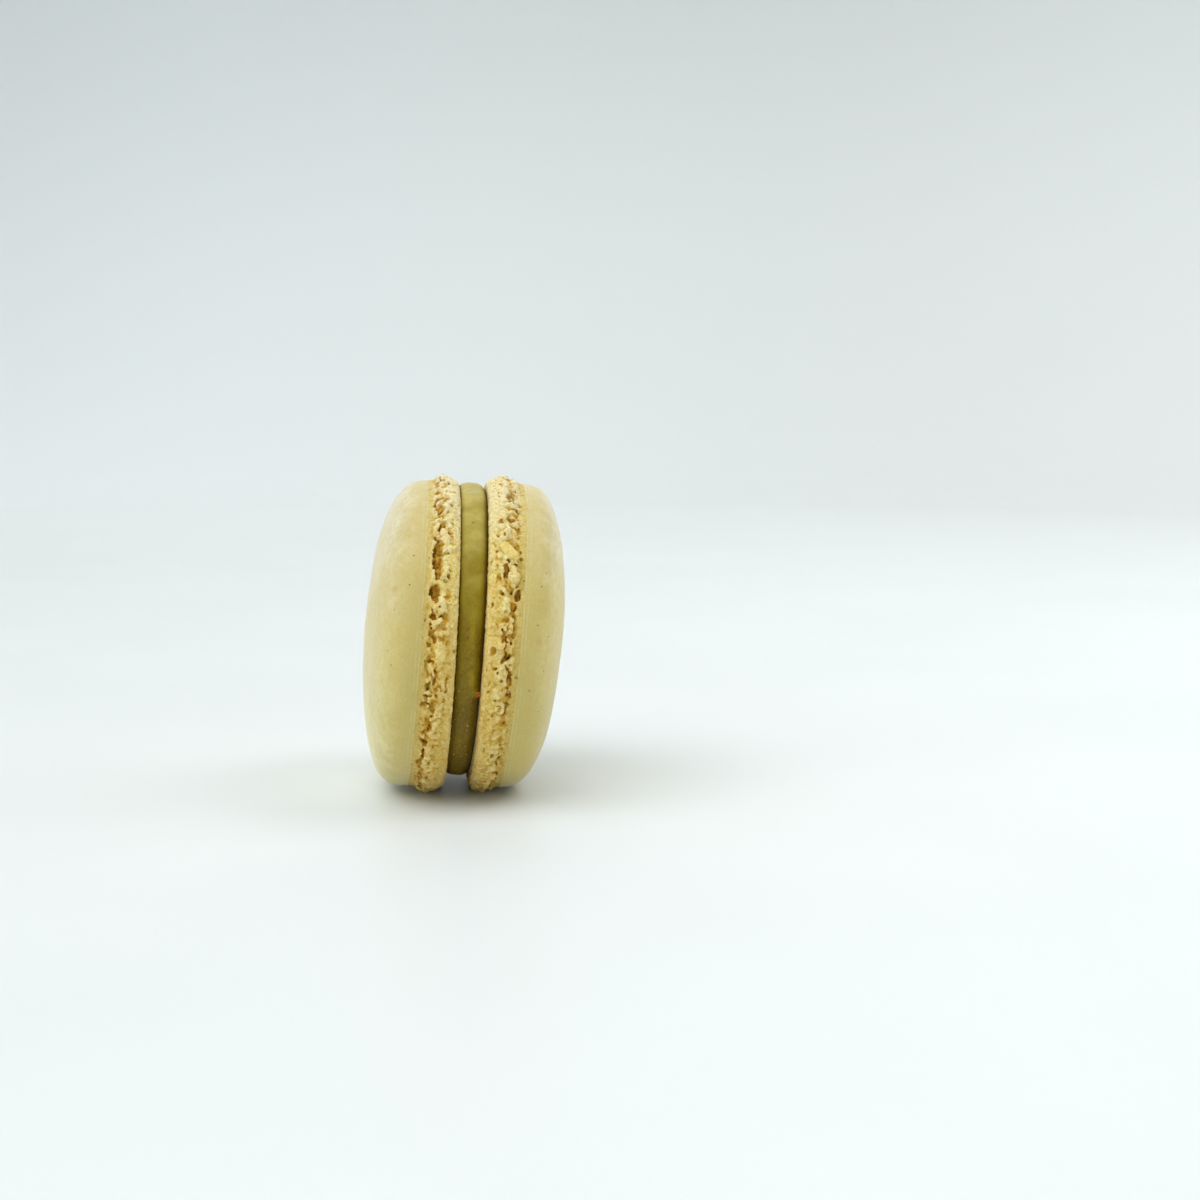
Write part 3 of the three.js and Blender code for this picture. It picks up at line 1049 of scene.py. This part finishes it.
def make_flake(filling):
    """The burnt flake that is stuck between the filling and the right foot."""
    basis = filling_frame()[1]
    place = on_surface(filling, on_filling(*FLAKE_PLACE))
    turn = math.radians(FLAKE_PLACE[0])
    out = math.cos(turn) * basis[0] + math.sin(turn) * basis[1]
    along = math.cos(turn) * basis[1] - math.sin(turn) * basis[0]
    directions = np.array((along, basis[2], out))
    ball, triangles = round_shape(5)
    uneven = 1 + 0.4 * noise(ball.T, 0.9, 95) + 0.15 * noise(ball.T, 0.3, 96)
    bent = ball * uneven[:, None] * FLAKE_SIZES
    bent[:, 2] += 0.25 * bent[:, 0] - 0.3 * bent[:, 1] ** 2
    points = place + FLAKE_LIFT * out + bent @ directions
    made = mesh_object("burnt_flake", points, outward(points, triangles))
    made.data.materials.append(flake_material())
    return made


# ---- Materials -----------------------------------------------------------------------------------


def linear(red, green, blue):
    """A colour given as on a screen, 0 to 255, as the linear one that a shader takes."""
    parts = [value / 255 for value in (red, green, blue)]
    return (*[p / 12.92 if p <= 0.04045 else ((p + 0.055) / 1.055) ** 2.4 for p in parts], 1)


class Nodes:
    """A material's nodes, added one after the other."""

    def __init__(self, name):
        """An empty material, with the place in millimetres as its first nodes."""
        self.material = bpy.data.materials.new(name)
        self.material.use_nodes = True
        self.tree = self.material.node_tree
        self.shader = self.tree.nodes["Principled BSDF"]
        place = self.add("ShaderNodeTexCoord").outputs["Object"]
        self.place = self.vector("SCALE", place, Scale=1 / MM)
        turn = {"Vector": self.place, "Rotation": TURN}
        turned = self.add("ShaderNodeVectorRotate", turn, rotation_type="EULER_XYZ")
        self.turned = turned.outputs["Vector"]

    def add(self, kind, inputs=None, **settings):
        """A new node with its inputs and settings."""
        made = self.tree.nodes.new(kind)
        for key, value in settings.items():
            setattr(made, key, value)
        for key, value in (inputs or {}).items():
            self.feed(made.inputs[key], value)
        return made

    def feed(self, socket, value):
        """Links another node's output to a socket, or sets the socket to a constant."""
        if isinstance(value, bpy.types.NodeSocket):
            self.tree.links.new(value, socket)
        else:
            socket.default_value = value

    def vector(self, operation, value, **inputs):
        """The result of an operation on a vector."""
        return self.add("ShaderNodeVectorMath", {0: value, **inputs}, operation=operation).outputs[0]

    def math(self, operation, *values):
        """The result of an operation on numbers."""
        return self.add("ShaderNodeMath", dict(enumerate(values)), operation=operation).outputs[0]

    def distance(self, spot):
        """The distance to a spot, in millimetres."""
        inputs = {0: self.place, 1: tuple(spot)}
        return self.add("ShaderNodeVectorMath", inputs, operation="DISTANCE").outputs["Value"]

    def nearest(self, spots):
        """The distance to the nearest of the spots, in millimetres."""
        nearest = self.distance(spots[0])
        for spot in spots[1:]:
            nearest = self.math("MINIMUM", nearest, self.distance(spot))
        return nearest

    def specks(self, spacing, placed=None):
        """The distance to the nearest of many random points, or the placed distance if less."""
        cells = self.add("ShaderNodeTexVoronoi", {"Vector": self.turned, "Scale": 1 / spacing})
        distance = self.math("MULTIPLY", cells.outputs["Distance"], spacing)
        return self.math("MINIMUM", distance, placed) if placed else distance

    def coordinate(self, axis):
        """How far along an axis of the part's frame, in millimetres. Z is the height."""
        return self.add("ShaderNodeSeparateXYZ", {0: self.place}).outputs[axis]

    def row(self, value):
        """A vector with the value as its x, for noise that changes along one line only."""
        return self.add("ShaderNodeCombineXYZ", {0: value}).outputs[0]

    def attribute(self, name):
        """A number that each vertex of the mesh carries."""
        return self.add("ShaderNodeAttribute", attribute_name=name).outputs["Fac"]

    def noise(self, size, detail=2.0, place=None):
        """Noise from 0 to 1, whose lumps are about size millimetres wide."""
        inputs = {"Vector": place or self.turned, "Scale": 1 / size, "Detail": detail}
        return self.add("ShaderNodeTexNoise", inputs).outputs["Fac"]

    def range(self, value, low, high, to_low=0.0, to_high=1.0, smooth=True):
        """The value carried from low and high to to_low and to_high, and kept between them."""
        kind = "SMOOTHSTEP" if smooth else "LINEAR"
        inputs = {0: value, 1: low, 2: high, 3: to_low, 4: to_high}
        return self.add("ShaderNodeMapRange", inputs, interpolation_type=kind).outputs[0]

    def patches(self, size, detail, *ends, smooth=True):
        """Noise carried to a range: its lumps' size and its detail, and then what range takes."""
        return self.range(self.noise(size, detail), *ends, smooth=smooth)

    def mix(self, share, first, second, blend="MIX"):
        """The first colour, with the second laid over it by share."""
        made = self.add("ShaderNodeMix", data_type="RGBA", blend_type=blend)
        self.feed(made.inputs["Factor"], share)
        self.feed(made.inputs[6], first)
        self.feed(made.inputs[7], second)
        return made.outputs[2]

    def ramp(self, value, stops):
        """The colour for a value from 0 to 1, between the stops round it."""
        made = self.add("ShaderNodeValToRGB", {0: value})
        elements = made.color_ramp.elements
        while len(elements) < len(stops):
            elements.new(0.5)
        for element, (position, colour) in zip(elements, stops):
            element.position = position
            element.color = colour
        return made.outputs[0]

    def bump(self, height, distance, strength=1.0, normal=None):
        """A normal tilted by relief that is distance millimetres deep, over another one if given."""
        inputs = {"Height": height, "Distance": distance * MM, "Strength": strength}
        made = self.add("ShaderNodeBump", inputs)
        if normal:
            self.feed(made.inputs["Normal"], normal)
        return made.outputs["Normal"]

    def finish(self, colour, roughness, normal, **constants):
        """The material, with its colour, roughness and normal and with constants on its shader."""
        self.feed(self.shader.inputs["Base Color"], colour)
        self.feed(self.shader.inputs["Roughness"], roughness)
        self.feed(self.shader.inputs["Normal"], normal)
        for key, value in constants.items():
            self.shader.inputs[key.replace("_", " ")].default_value = value
        return self.material


MACARON_HEIGHT = 46.0
DOME_STOPS = (0.1, 0.35, 0.6, 0.8, 1.0)  # shares of the height that a shell's tints, with their painted light, are for


def dome_material(shell, holes, stains):
    """Meringue skin from the oven: matt, fine-grained, beige above and greener below, with painted
    highlight at the top, painted shade towards the crease, and pinholes painted dark.
    """
    nodes = Nodes(shell.node + "_skin")
    # Colour by height: the dome's own tint, with painted highlight at the whiter top, painted light
    # low on the left shell and painted shade low on the right one.
    wander = nodes.patches(9, 2, 0.3, 0.7, -4, 4)
    height = nodes.math("ADD", nodes.coordinate("Z"), wander)
    tints_with_painted_light = [linear(*colour) for colour in shell.tints_and_painted_light]
    share = nodes.range(height, 0, MACARON_HEIGHT, smooth=False)
    colour = nodes.ramp(share, list(zip(DOME_STOPS, tints_with_painted_light)))
    # Painted shade: the skin is made darker and yellower towards the crease, away from the light that
    # falls on the dome's outer side.
    way = nodes.attribute("way")
    uneven = nodes.math("ADD", way, nodes.patches(3, 3, 0.3, 0.7, -1, 1))
    crease_shade = nodes.range(uneven, 6.5, 0.8)
    colour = nodes.mix(nodes.math("MULTIPLY", crease_shade, 0.8), colour, linear(202, 182, 104))
    mottle = nodes.patches(0.9, 4, 0.3, 0.7)
    colour = nodes.mix(nodes.math("MULTIPLY", mottle, 0.4), colour, linear(204, 182, 100))
    grain = nodes.patches(0.25, 3, 0.35, 0.75)
    colour = nodes.mix(nodes.math("MULTIPLY", grain, 0.22), colour, linear(176, 150, 80))
    lines = nodes.range(nodes.noise(0.3, 2, nodes.row(way)), 0.45, 0.75)
    patchy = nodes.patches(2.2, 2, 0.35, 0.6)
    line_share = nodes.math("MULTIPLY", lines, nodes.range(way, 0.3, 4.0, 0.16, 0.0))
    colour = nodes.mix(nodes.math("MULTIPLY", line_share, patchy), colour, linear(238, 224, 168))
    for middle, strength in ((0.02, 0.35), (0.55, 0.12)):
        off = nodes.math("ABSOLUTE", nodes.math("SUBTRACT", way, middle))
        share = nodes.math("MULTIPLY", patchy, nodes.range(off, 0.02, 0.09, strength, 0.0))
        colour = nodes.mix(share, colour, linear(244, 230, 178))
    stain = nodes.range(nodes.nearest(stains), 0.1, 0.8, 0.35, 0.0)
    colour = nodes.mix(stain, colour, linear(196, 140, 84))
    faint = nodes.range(nodes.specks(0.9), 0.03, 0.12, 0.25, 0.0)
    colour = nodes.mix(faint, colour, linear(120, 96, 40))
    pale = nodes.range(nodes.specks(2.3), 0.05, 0.14, 0.5, 0.0)
    colour = nodes.mix(pale, colour, linear(250, 242, 208))
    # Pinholes: painted shade inside each hole, a dark spot over a shallow dent.
    pinhole_and_shade = nodes.range(nodes.specks(PINHOLE_SPACING, nodes.nearest(holes)), 0.05, 0.15, 0.9, 0.0)
    colour = nodes.mix(pinhole_and_shade, colour, linear(86, 72, 26))
    rough = nodes.patches(0.6, 3, 0.3, 0.7, 0.55, 0.7, smooth=False)
    normal = nodes.bump(nodes.noise(0.25, 3), 0.035, 0.6)
    normal = nodes.bump(nodes.math("SUBTRACT", 1.0, pinhole_and_shade), 0.12, 0.8, normal)
    return nodes.finish(
        colour, rough, normal, Subsurface_Weight=0.15, Subsurface_Radius=(1.0, 0.75, 0.35),
        Subsurface_Scale=1.2 * MM, Specular_IOR_Level=0.4, Sheen_Weight=0.45, Sheen_Roughness=0.4,
    )


def foot_material():
    """The crumb of the foot: pale where it stands out, with painted shade making it golden in the
    dips, brown in the caves and darker lower down, and a painted highlight near the top.
    """
    nodes = Nodes("meringue_crumb")
    # Painted shade: the crumb goes from pale through golden to brown the deeper it lies in a hollow or
    # valley, where shade falls.
    dip_shade = nodes.math("MULTIPLY_ADD", nodes.attribute("hollow"), 0.35, nodes.math(
        "MULTIPLY", nodes.attribute("valley"), 0.8))
    speckle = nodes.patches(0.35, 4, 0.3, 0.7, -0.12, 0.12)
    dip_shade = nodes.math("ADD", dip_shade, speckle)
    tone = nodes.range(dip_shade, -0.35, 0.6, smooth=False)
    colour = nodes.ramp(tone, (
        (0.0, linear(244, 228, 162)),
        (0.28, linear(232, 208, 124)),
        (0.5, linear(212, 180, 80)),
        (0.7, linear(192, 146, 36)),
        (1.0, linear(134, 88, 8)),
    ))
    patches = nodes.patches(2.5, 3, 0.42, 0.66)
    colour = nodes.mix(nodes.math("MULTIPLY", patches, 0.4), colour, linear(240, 210, 140), "MULTIPLY")
    # Painted shade: the crumb darkens towards the bottom, away from the light above.
    low = nodes.range(nodes.coordinate("Z"), 40, 4, 0.0, 0.35)
    colour = nodes.mix(low, colour, linear(228, 198, 120), "MULTIPLY")
    # Painted highlight: paler near the top, on the parts that stand out, where the light from above
    # falls.
    high = nodes.range(nodes.coordinate("Z"), 33, 46, 0.0, 0.7)
    top_highlight = nodes.math("MULTIPLY", high, nodes.range(tone, 0.6, 0.2))
    colour = nodes.mix(top_highlight, colour, linear(246, 236, 198))
    on_band = nodes.range(nodes.attribute("level"), 3.6, 4.5)
    colour = nodes.mix(nodes.math("MULTIPLY", on_band, 0.6), colour, linear(207, 187, 112))
    sand = nodes.patches(0.22, 2, 0.4, 0.68, 0.0, 0.36)
    colour = nodes.mix(sand, colour, linear(176, 140, 52))
    ragged = nodes.patches(0.25, 2, 0.3, 0.7, -0.09, 0.09)
    specks = nodes.range(nodes.math("ADD", nodes.specks(1.5), ragged), 0.0, 0.12, 0.6, 0.0)
    colour = nodes.mix(specks, colour, linear(130, 100, 36))
    # Painted shade in the caves: golden where they are shallow and brown where they are deep.
    cave = nodes.attribute("cave")
    depth = nodes.attribute("depth")
    golden = nodes.math("MULTIPLY", cave, nodes.range(depth, -0.3, 0.3))
    colour = nodes.mix(golden, colour, linear(210, 162, 42))
    brown = nodes.math("MULTIPLY", cave, nodes.range(depth, 0.4, 1.2))
    colour = nodes.mix(brown, colour, linear(128, 78, 0))
    normal = nodes.bump(nodes.noise(0.18, 3), 0.07, 0.7)
    return nodes.finish(
        colour, 0.82, normal, Subsurface_Weight=0.06, Subsurface_Radius=(1.0, 0.6, 0.2),
        Subsurface_Scale=0.8 * MM, Specular_IOR_Level=0.15, Sheen_Weight=0.1, Sheen_Roughness=0.5,
    )


def filling_material(flecks):
    """Satin ganache: olive gold, paler above as painted highlight and darker below and at both edges
    as painted shade, mottled, with brown flecks and a yellow smear.
    """
    nodes = Nodes("ganache")
    # Painted light and shade: paler towards the top where light from above falls, darker lower down.
    wander = nodes.patches(4, 3, 0.3, 0.7, -5, 5)
    height = nodes.math("ADD", nodes.coordinate("Z"), wander)
    colour = nodes.ramp(nodes.range(height, 0, MACARON_HEIGHT, smooth=False), (
        (0.1, linear(118, 94, 4)),
        (0.3, linear(102, 80, 0)),
        (0.5, linear(126, 102, 0)),
        (0.72, linear(154, 134, 28)),
        (1.0, linear(190, 174, 88)),
    ))
    patches = nodes.patches(1.1, 3, 0.35, 0.7, 0.0, 0.28)
    colour = nodes.mix(patches, colour, linear(116, 106, 36))
    fine = nodes.patches(0.35, 4, 0.35, 0.7, 0.0, 0.25)
    colour = nodes.mix(fine, colour, linear(172, 148, 52))
    # Painted shade: darker along both edges, where the ganache meets the shells.
    across = nodes.attribute("across")
    colour = nodes.mix(nodes.range(across, 0.6, 1.0, 0.0, 0.85), colour, linear(84, 56, 4))
    colour = nodes.mix(nodes.range(across, -0.8, -1.0, 0.0, 0.8), colour, linear(84, 62, 4))
    torn = nodes.patches(0.9, 3, 0.3, 0.65)
    ridge = nodes.math("MULTIPLY", nodes.attribute("ridge"), nodes.math("MULTIPLY", torn, 0.6))
    colour = nodes.mix(ridge, colour, linear(172, 148, 24))
    ragged = nodes.patches(0.3, 2, 0.3, 0.7, -0.08, 0.08)
    fleck = nodes.range(nodes.math("ADD", nodes.nearest(flecks), ragged), 0.08, 0.28, 0.65, 0.0)
    colour = nodes.mix(fleck, colour, linear(118, 62, 16))
    rough = nodes.patches(1.2, 3, 0.3, 0.7, 0.42, 0.55, smooth=False)
    normal = nodes.bump(nodes.noise(0.35, 3), 0.04, 0.5)
    return nodes.finish(
        colour, rough, normal, Subsurface_Weight=0.1, Subsurface_Radius=(1.0, 0.7, 0.2),
        Subsurface_Scale=1.0 * MM, Specular_IOR_Level=0.22,
    )


def crumb_material():
    """Pale grains, dried hard."""
    nodes = Nodes("dry_grain")
    tone = nodes.patches(0.12, 2, 0.3, 0.7)
    colour = nodes.mix(tone, linear(236, 224, 176), linear(208, 188, 122))
    normal = nodes.bump(nodes.noise(0.05, 2), 0.02, 0.5)
    return nodes.finish(colour, 0.7, normal, Specular_IOR_Level=0.3)


def almond_material():
    """Toasted almond: smooth, golden, a little darker in places."""
    nodes = Nodes("toasted_almond")
    tone = nodes.patches(0.8, 3, 0.3, 0.7)
    colour = nodes.mix(tone, linear(238, 216, 134), linear(220, 190, 92))
    grain = nodes.patches(0.2, 3, 0.4, 0.7, 0.0, 0.35)
    colour = nodes.mix(grain, colour, linear(196, 156, 60))
    normal = nodes.bump(nodes.noise(0.15, 3), 0.03, 0.5)
    return nodes.finish(
        colour, 0.6, normal, Subsurface_Weight=0.1, Subsurface_Radius=(1.0, 0.7, 0.3),
        Subsurface_Scale=0.6 * MM, Specular_IOR_Level=0.3,
    )


def flake_material():
    """Thin burnt crust: orange, dark red-brown in patches."""
    nodes = Nodes("burnt_crust")
    tone = nodes.patches(0.35, 3, 0.38, 0.62)
    colour = nodes.mix(tone, linear(208, 134, 30), linear(116, 62, 8))
    normal = nodes.bump(nodes.noise(0.08, 2), 0.03, 0.6)
    return nodes.finish(colour, 0.5, normal, Specular_IOR_Level=0.3)


# ---- Stage, light and camera ---------------------------------------------------------------------

FLOOR_RADIUS = 550.0
FLOOR_RINGS = (60.0, 150.0, FLOOR_RADIUS)
SWEEP_RADIUS = 330.0  # of the curve from the floor up to the wall
SWEEP_STEPS = 24
WALL_HEIGHT = 370.0
STAGE_SIDES = 96
SKY_COLOUR = (0.97, 1.0, 1.0, 1)
SKY_BASE = 0.05  # the sky's strength outside its bright patches
SKY_PATCHES = (  # azimuth and elevation in degrees, and strength
    (180, 33, 1.65),  # behind, low
    (312, 60, 2.5),  # in front on the left, high
    (270, 33, 1.05),  # on the left, low
)
PATCH_EDGE = 40.0  # degrees from a patch's middle to its edge, and to where it is brightest
PATCH_CORE = 12.0
LAMP_PLACE = (0.38, 0.0, 0.5)  # in metres
LAMP_SIZE = 0.4
LAMP_POWER = 1.3
PHOTO_SIZE = 1200
LENS = 60.0
SENSOR = 36.0
CLIP_START = 0.01  # in metres
CLIP_END = 10.0
CAMERA_DISTANCE = 292.5
CAMERA_AZIMUTH = -2.34
CAMERA_ELEVATION = 8.0
TARGET_HEIGHT = 22.8
TARGET_PIXEL = (463.0, 631.4)  # where the target shows in the photo's frame


def stage_profile():
    """Radius and height of the stage's rings: a floor, the sweep, and a wall."""
    profile = [(radius, 0.0) for radius in FLOOR_RINGS]
    for i in range(1, SWEEP_STEPS + 1):
        turn = i / SWEEP_STEPS * math.pi / 2
        profile.append((
            FLOOR_RADIUS + SWEEP_RADIUS * math.sin(turn),
            SWEEP_RADIUS * (1 - math.cos(turn)),
        ))
    profile.append((FLOOR_RADIUS + SWEEP_RADIUS, WALL_HEIGHT))
    return profile


def paper_material():
    """White paper with a slight gloss; further off it is whiter on the left, a painted light, and
    greyer on the right, a painted shade.
    """
    nodes = Nodes("paper")
    tone = nodes.patches(60, 2, 0.3, 0.7)
    colour = nodes.mix(tone, linear(228, 232, 232), linear(230, 234, 234))
    # Painted light and shade on the paper: whiter further off on the left, greyer on the right.
    away = nodes.range(nodes.distance((0, 0, 0)), 300, 650)
    aside = nodes.range(nodes.coordinate("X"), -150, 300)
    far = nodes.mix(aside, linear(240, 245, 245), linear(224, 227, 227))
    colour = nodes.mix(away, colour, far)
    normal = nodes.bump(nodes.noise(0.8, 2), 0.01, 0.2)
    return nodes.finish(colour, 0.25, normal, Specular_IOR_Level=0.02)


def make_stage():
    """A round bowl: a flat floor that sweeps up into a wall on all sides."""
    profile = stage_profile()
    angle = 2 * np.pi * np.arange(STAGE_SIDES) / STAGE_SIDES
    rings = [np.zeros((1, 3))]
    for radius, height in profile:
        rings.append(np.stack((radius * np.cos(angle), radius * np.sin(angle), angle * 0 + height), 1))
    sizes = np.array([1] + [STAGE_SIDES] * len(profile))
    made = mesh_object("stage", np.concatenate(rings), disc_grid(sizes))
    made.data.materials.append(paper_material())


def facing(azimuth, elevation):
    """The direction at an azimuth, which is 0 in front and 90 on the right, and an elevation."""
    turn = math.radians(azimuth)
    rise = math.radians(elevation)
    return Vector((
        math.sin(turn) * math.cos(rise),
        -math.cos(turn) * math.cos(rise),
        math.sin(rise),
    ))


def sky_patch(tree, direction, middle, bright):
    """A patch's strength in each direction: bright near its middle, and 0 past its edge."""
    nearness = tree.nodes.new("ShaderNodeVectorMath")
    nearness.operation = "DOT_PRODUCT"
    tree.links.new(direction, nearness.inputs[0])
    nearness.inputs[1].default_value = middle
    patch = tree.nodes.new("ShaderNodeMapRange")
    patch.interpolation_type = "SMOOTHSTEP"
    tree.links.new(nearness.outputs["Value"], patch.inputs[0])
    ends = (math.cos(math.radians(PATCH_EDGE)), math.cos(math.radians(PATCH_CORE)), 0.0, bright)
    for i, value in enumerate(ends):
        patch.inputs[1 + i].default_value = value
    return patch.outputs[0]


def make_sky():
    """A white sky with soft bright patches."""
    world = bpy.data.worlds.new("sky")
    bpy.context.scene.world = world
    world.use_nodes = True
    nodes = world.node_tree.nodes
    links = world.node_tree.links
    direction = nodes.new("ShaderNodeTexCoord").outputs["Generated"]
    strength = nodes.new("ShaderNodeValue").outputs[0]
    strength.default_value = SKY_BASE
    for azimuth, elevation, bright in SKY_PATCHES:
        patch = sky_patch(world.node_tree, direction, facing(azimuth, elevation), bright)
        total = nodes.new("ShaderNodeMath")
        links.new(strength, total.inputs[0])
        links.new(patch, total.inputs[1])
        strength = total.outputs[0]
    background = nodes["Background"]
    background.inputs["Color"].default_value = SKY_COLOUR
    links.new(strength, background.inputs["Strength"])


def make_lamp():
    """A soft lamp on the right, above."""
    lamp = bpy.data.lights.new("softbox_right", "AREA")
    lamp.size = LAMP_SIZE
    lamp.energy = LAMP_POWER
    holder = bpy.data.objects.new("softbox_right", lamp)
    holder.location = LAMP_PLACE
    aim = Vector((0, 0, TARGET_HEIGHT * MM)) - holder.location
    holder.rotation_euler = aim.to_track_quat("-Z", "Y").to_euler()
    bpy.context.scene.collection.objects.link(holder)


def make_camera():
    """A camera that sees the target at its pixel, from the given distance and angles."""
    focal = LENS / SENSOR * PHOTO_SIZE
    aside = (TARGET_PIXEL[0] - PHOTO_SIZE / 2) / focal
    above = -(TARGET_PIXEL[1] - PHOTO_SIZE / 2) / focal
    back = facing(CAMERA_AZIMUTH, CAMERA_ELEVATION)
    reach = math.sqrt(1 + aside**2 + above**2)
    pitch = math.atan(above) + math.asin(back.z * reach / math.sqrt(1 + above**2))
    yaw = math.atan2(aside, math.cos(pitch) + above * math.sin(pitch))
    level = Vector((-back.x, -back.y, 0)).normalized()
    level = Vector((
        level.x * math.cos(yaw) - level.y * math.sin(yaw),
        level.x * math.sin(yaw) + level.y * math.cos(yaw),
        0,
    ))
    right = Vector((level.y, -level.x, 0))
    forward = level * math.cos(pitch) + Vector((0, 0, -math.sin(pitch)))
    up = right.cross(forward)
    data = bpy.data.cameras.new("camera")
    data.lens = LENS
    data.sensor_width = SENSOR
    data.clip_start = CLIP_START
    data.clip_end = CLIP_END
    camera = bpy.data.objects.new("camera", data)
    place = (Vector((0, 0, TARGET_HEIGHT)) + back * CAMERA_DISTANCE) * MM
    turn = Matrix((right, up, -forward)).transposed().to_4x4()
    camera.matrix_world = Matrix.Translation(place) @ turn
    bpy.context.scene.collection.objects.link(camera)
    bpy.context.scene.camera = camera


# ---- The macaron ---------------------------------------------------------------------------------


def declare(piece, node):
    """A piece that stands for a CAD node, on the part's only body."""
    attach(piece, "root")
    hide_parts(node)


def main():
    """Makes the macaron's pieces, and the stage, light and camera that show them."""
    crumb = foot_material()
    domes = {}
    for shell in (LEFT, RIGHT):
        find_place(shell)
        declare(make_foot(shell, crumb), shell.node)
        domes[shell.node] = make_dome(shell)
        declare(domes[shell.node], shell.node)
    filling = make_filling()
    declare(filling, "filling")
    for bit in (make_crumbs(filling, domes), make_flake(filling), make_almond(RIGHT)):
        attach(bit, "root")
    make_stage()
    make_sky()
    make_lamp()
    make_camera()
    bpy.context.scene.view_settings.view_transform = "Standard"


main()
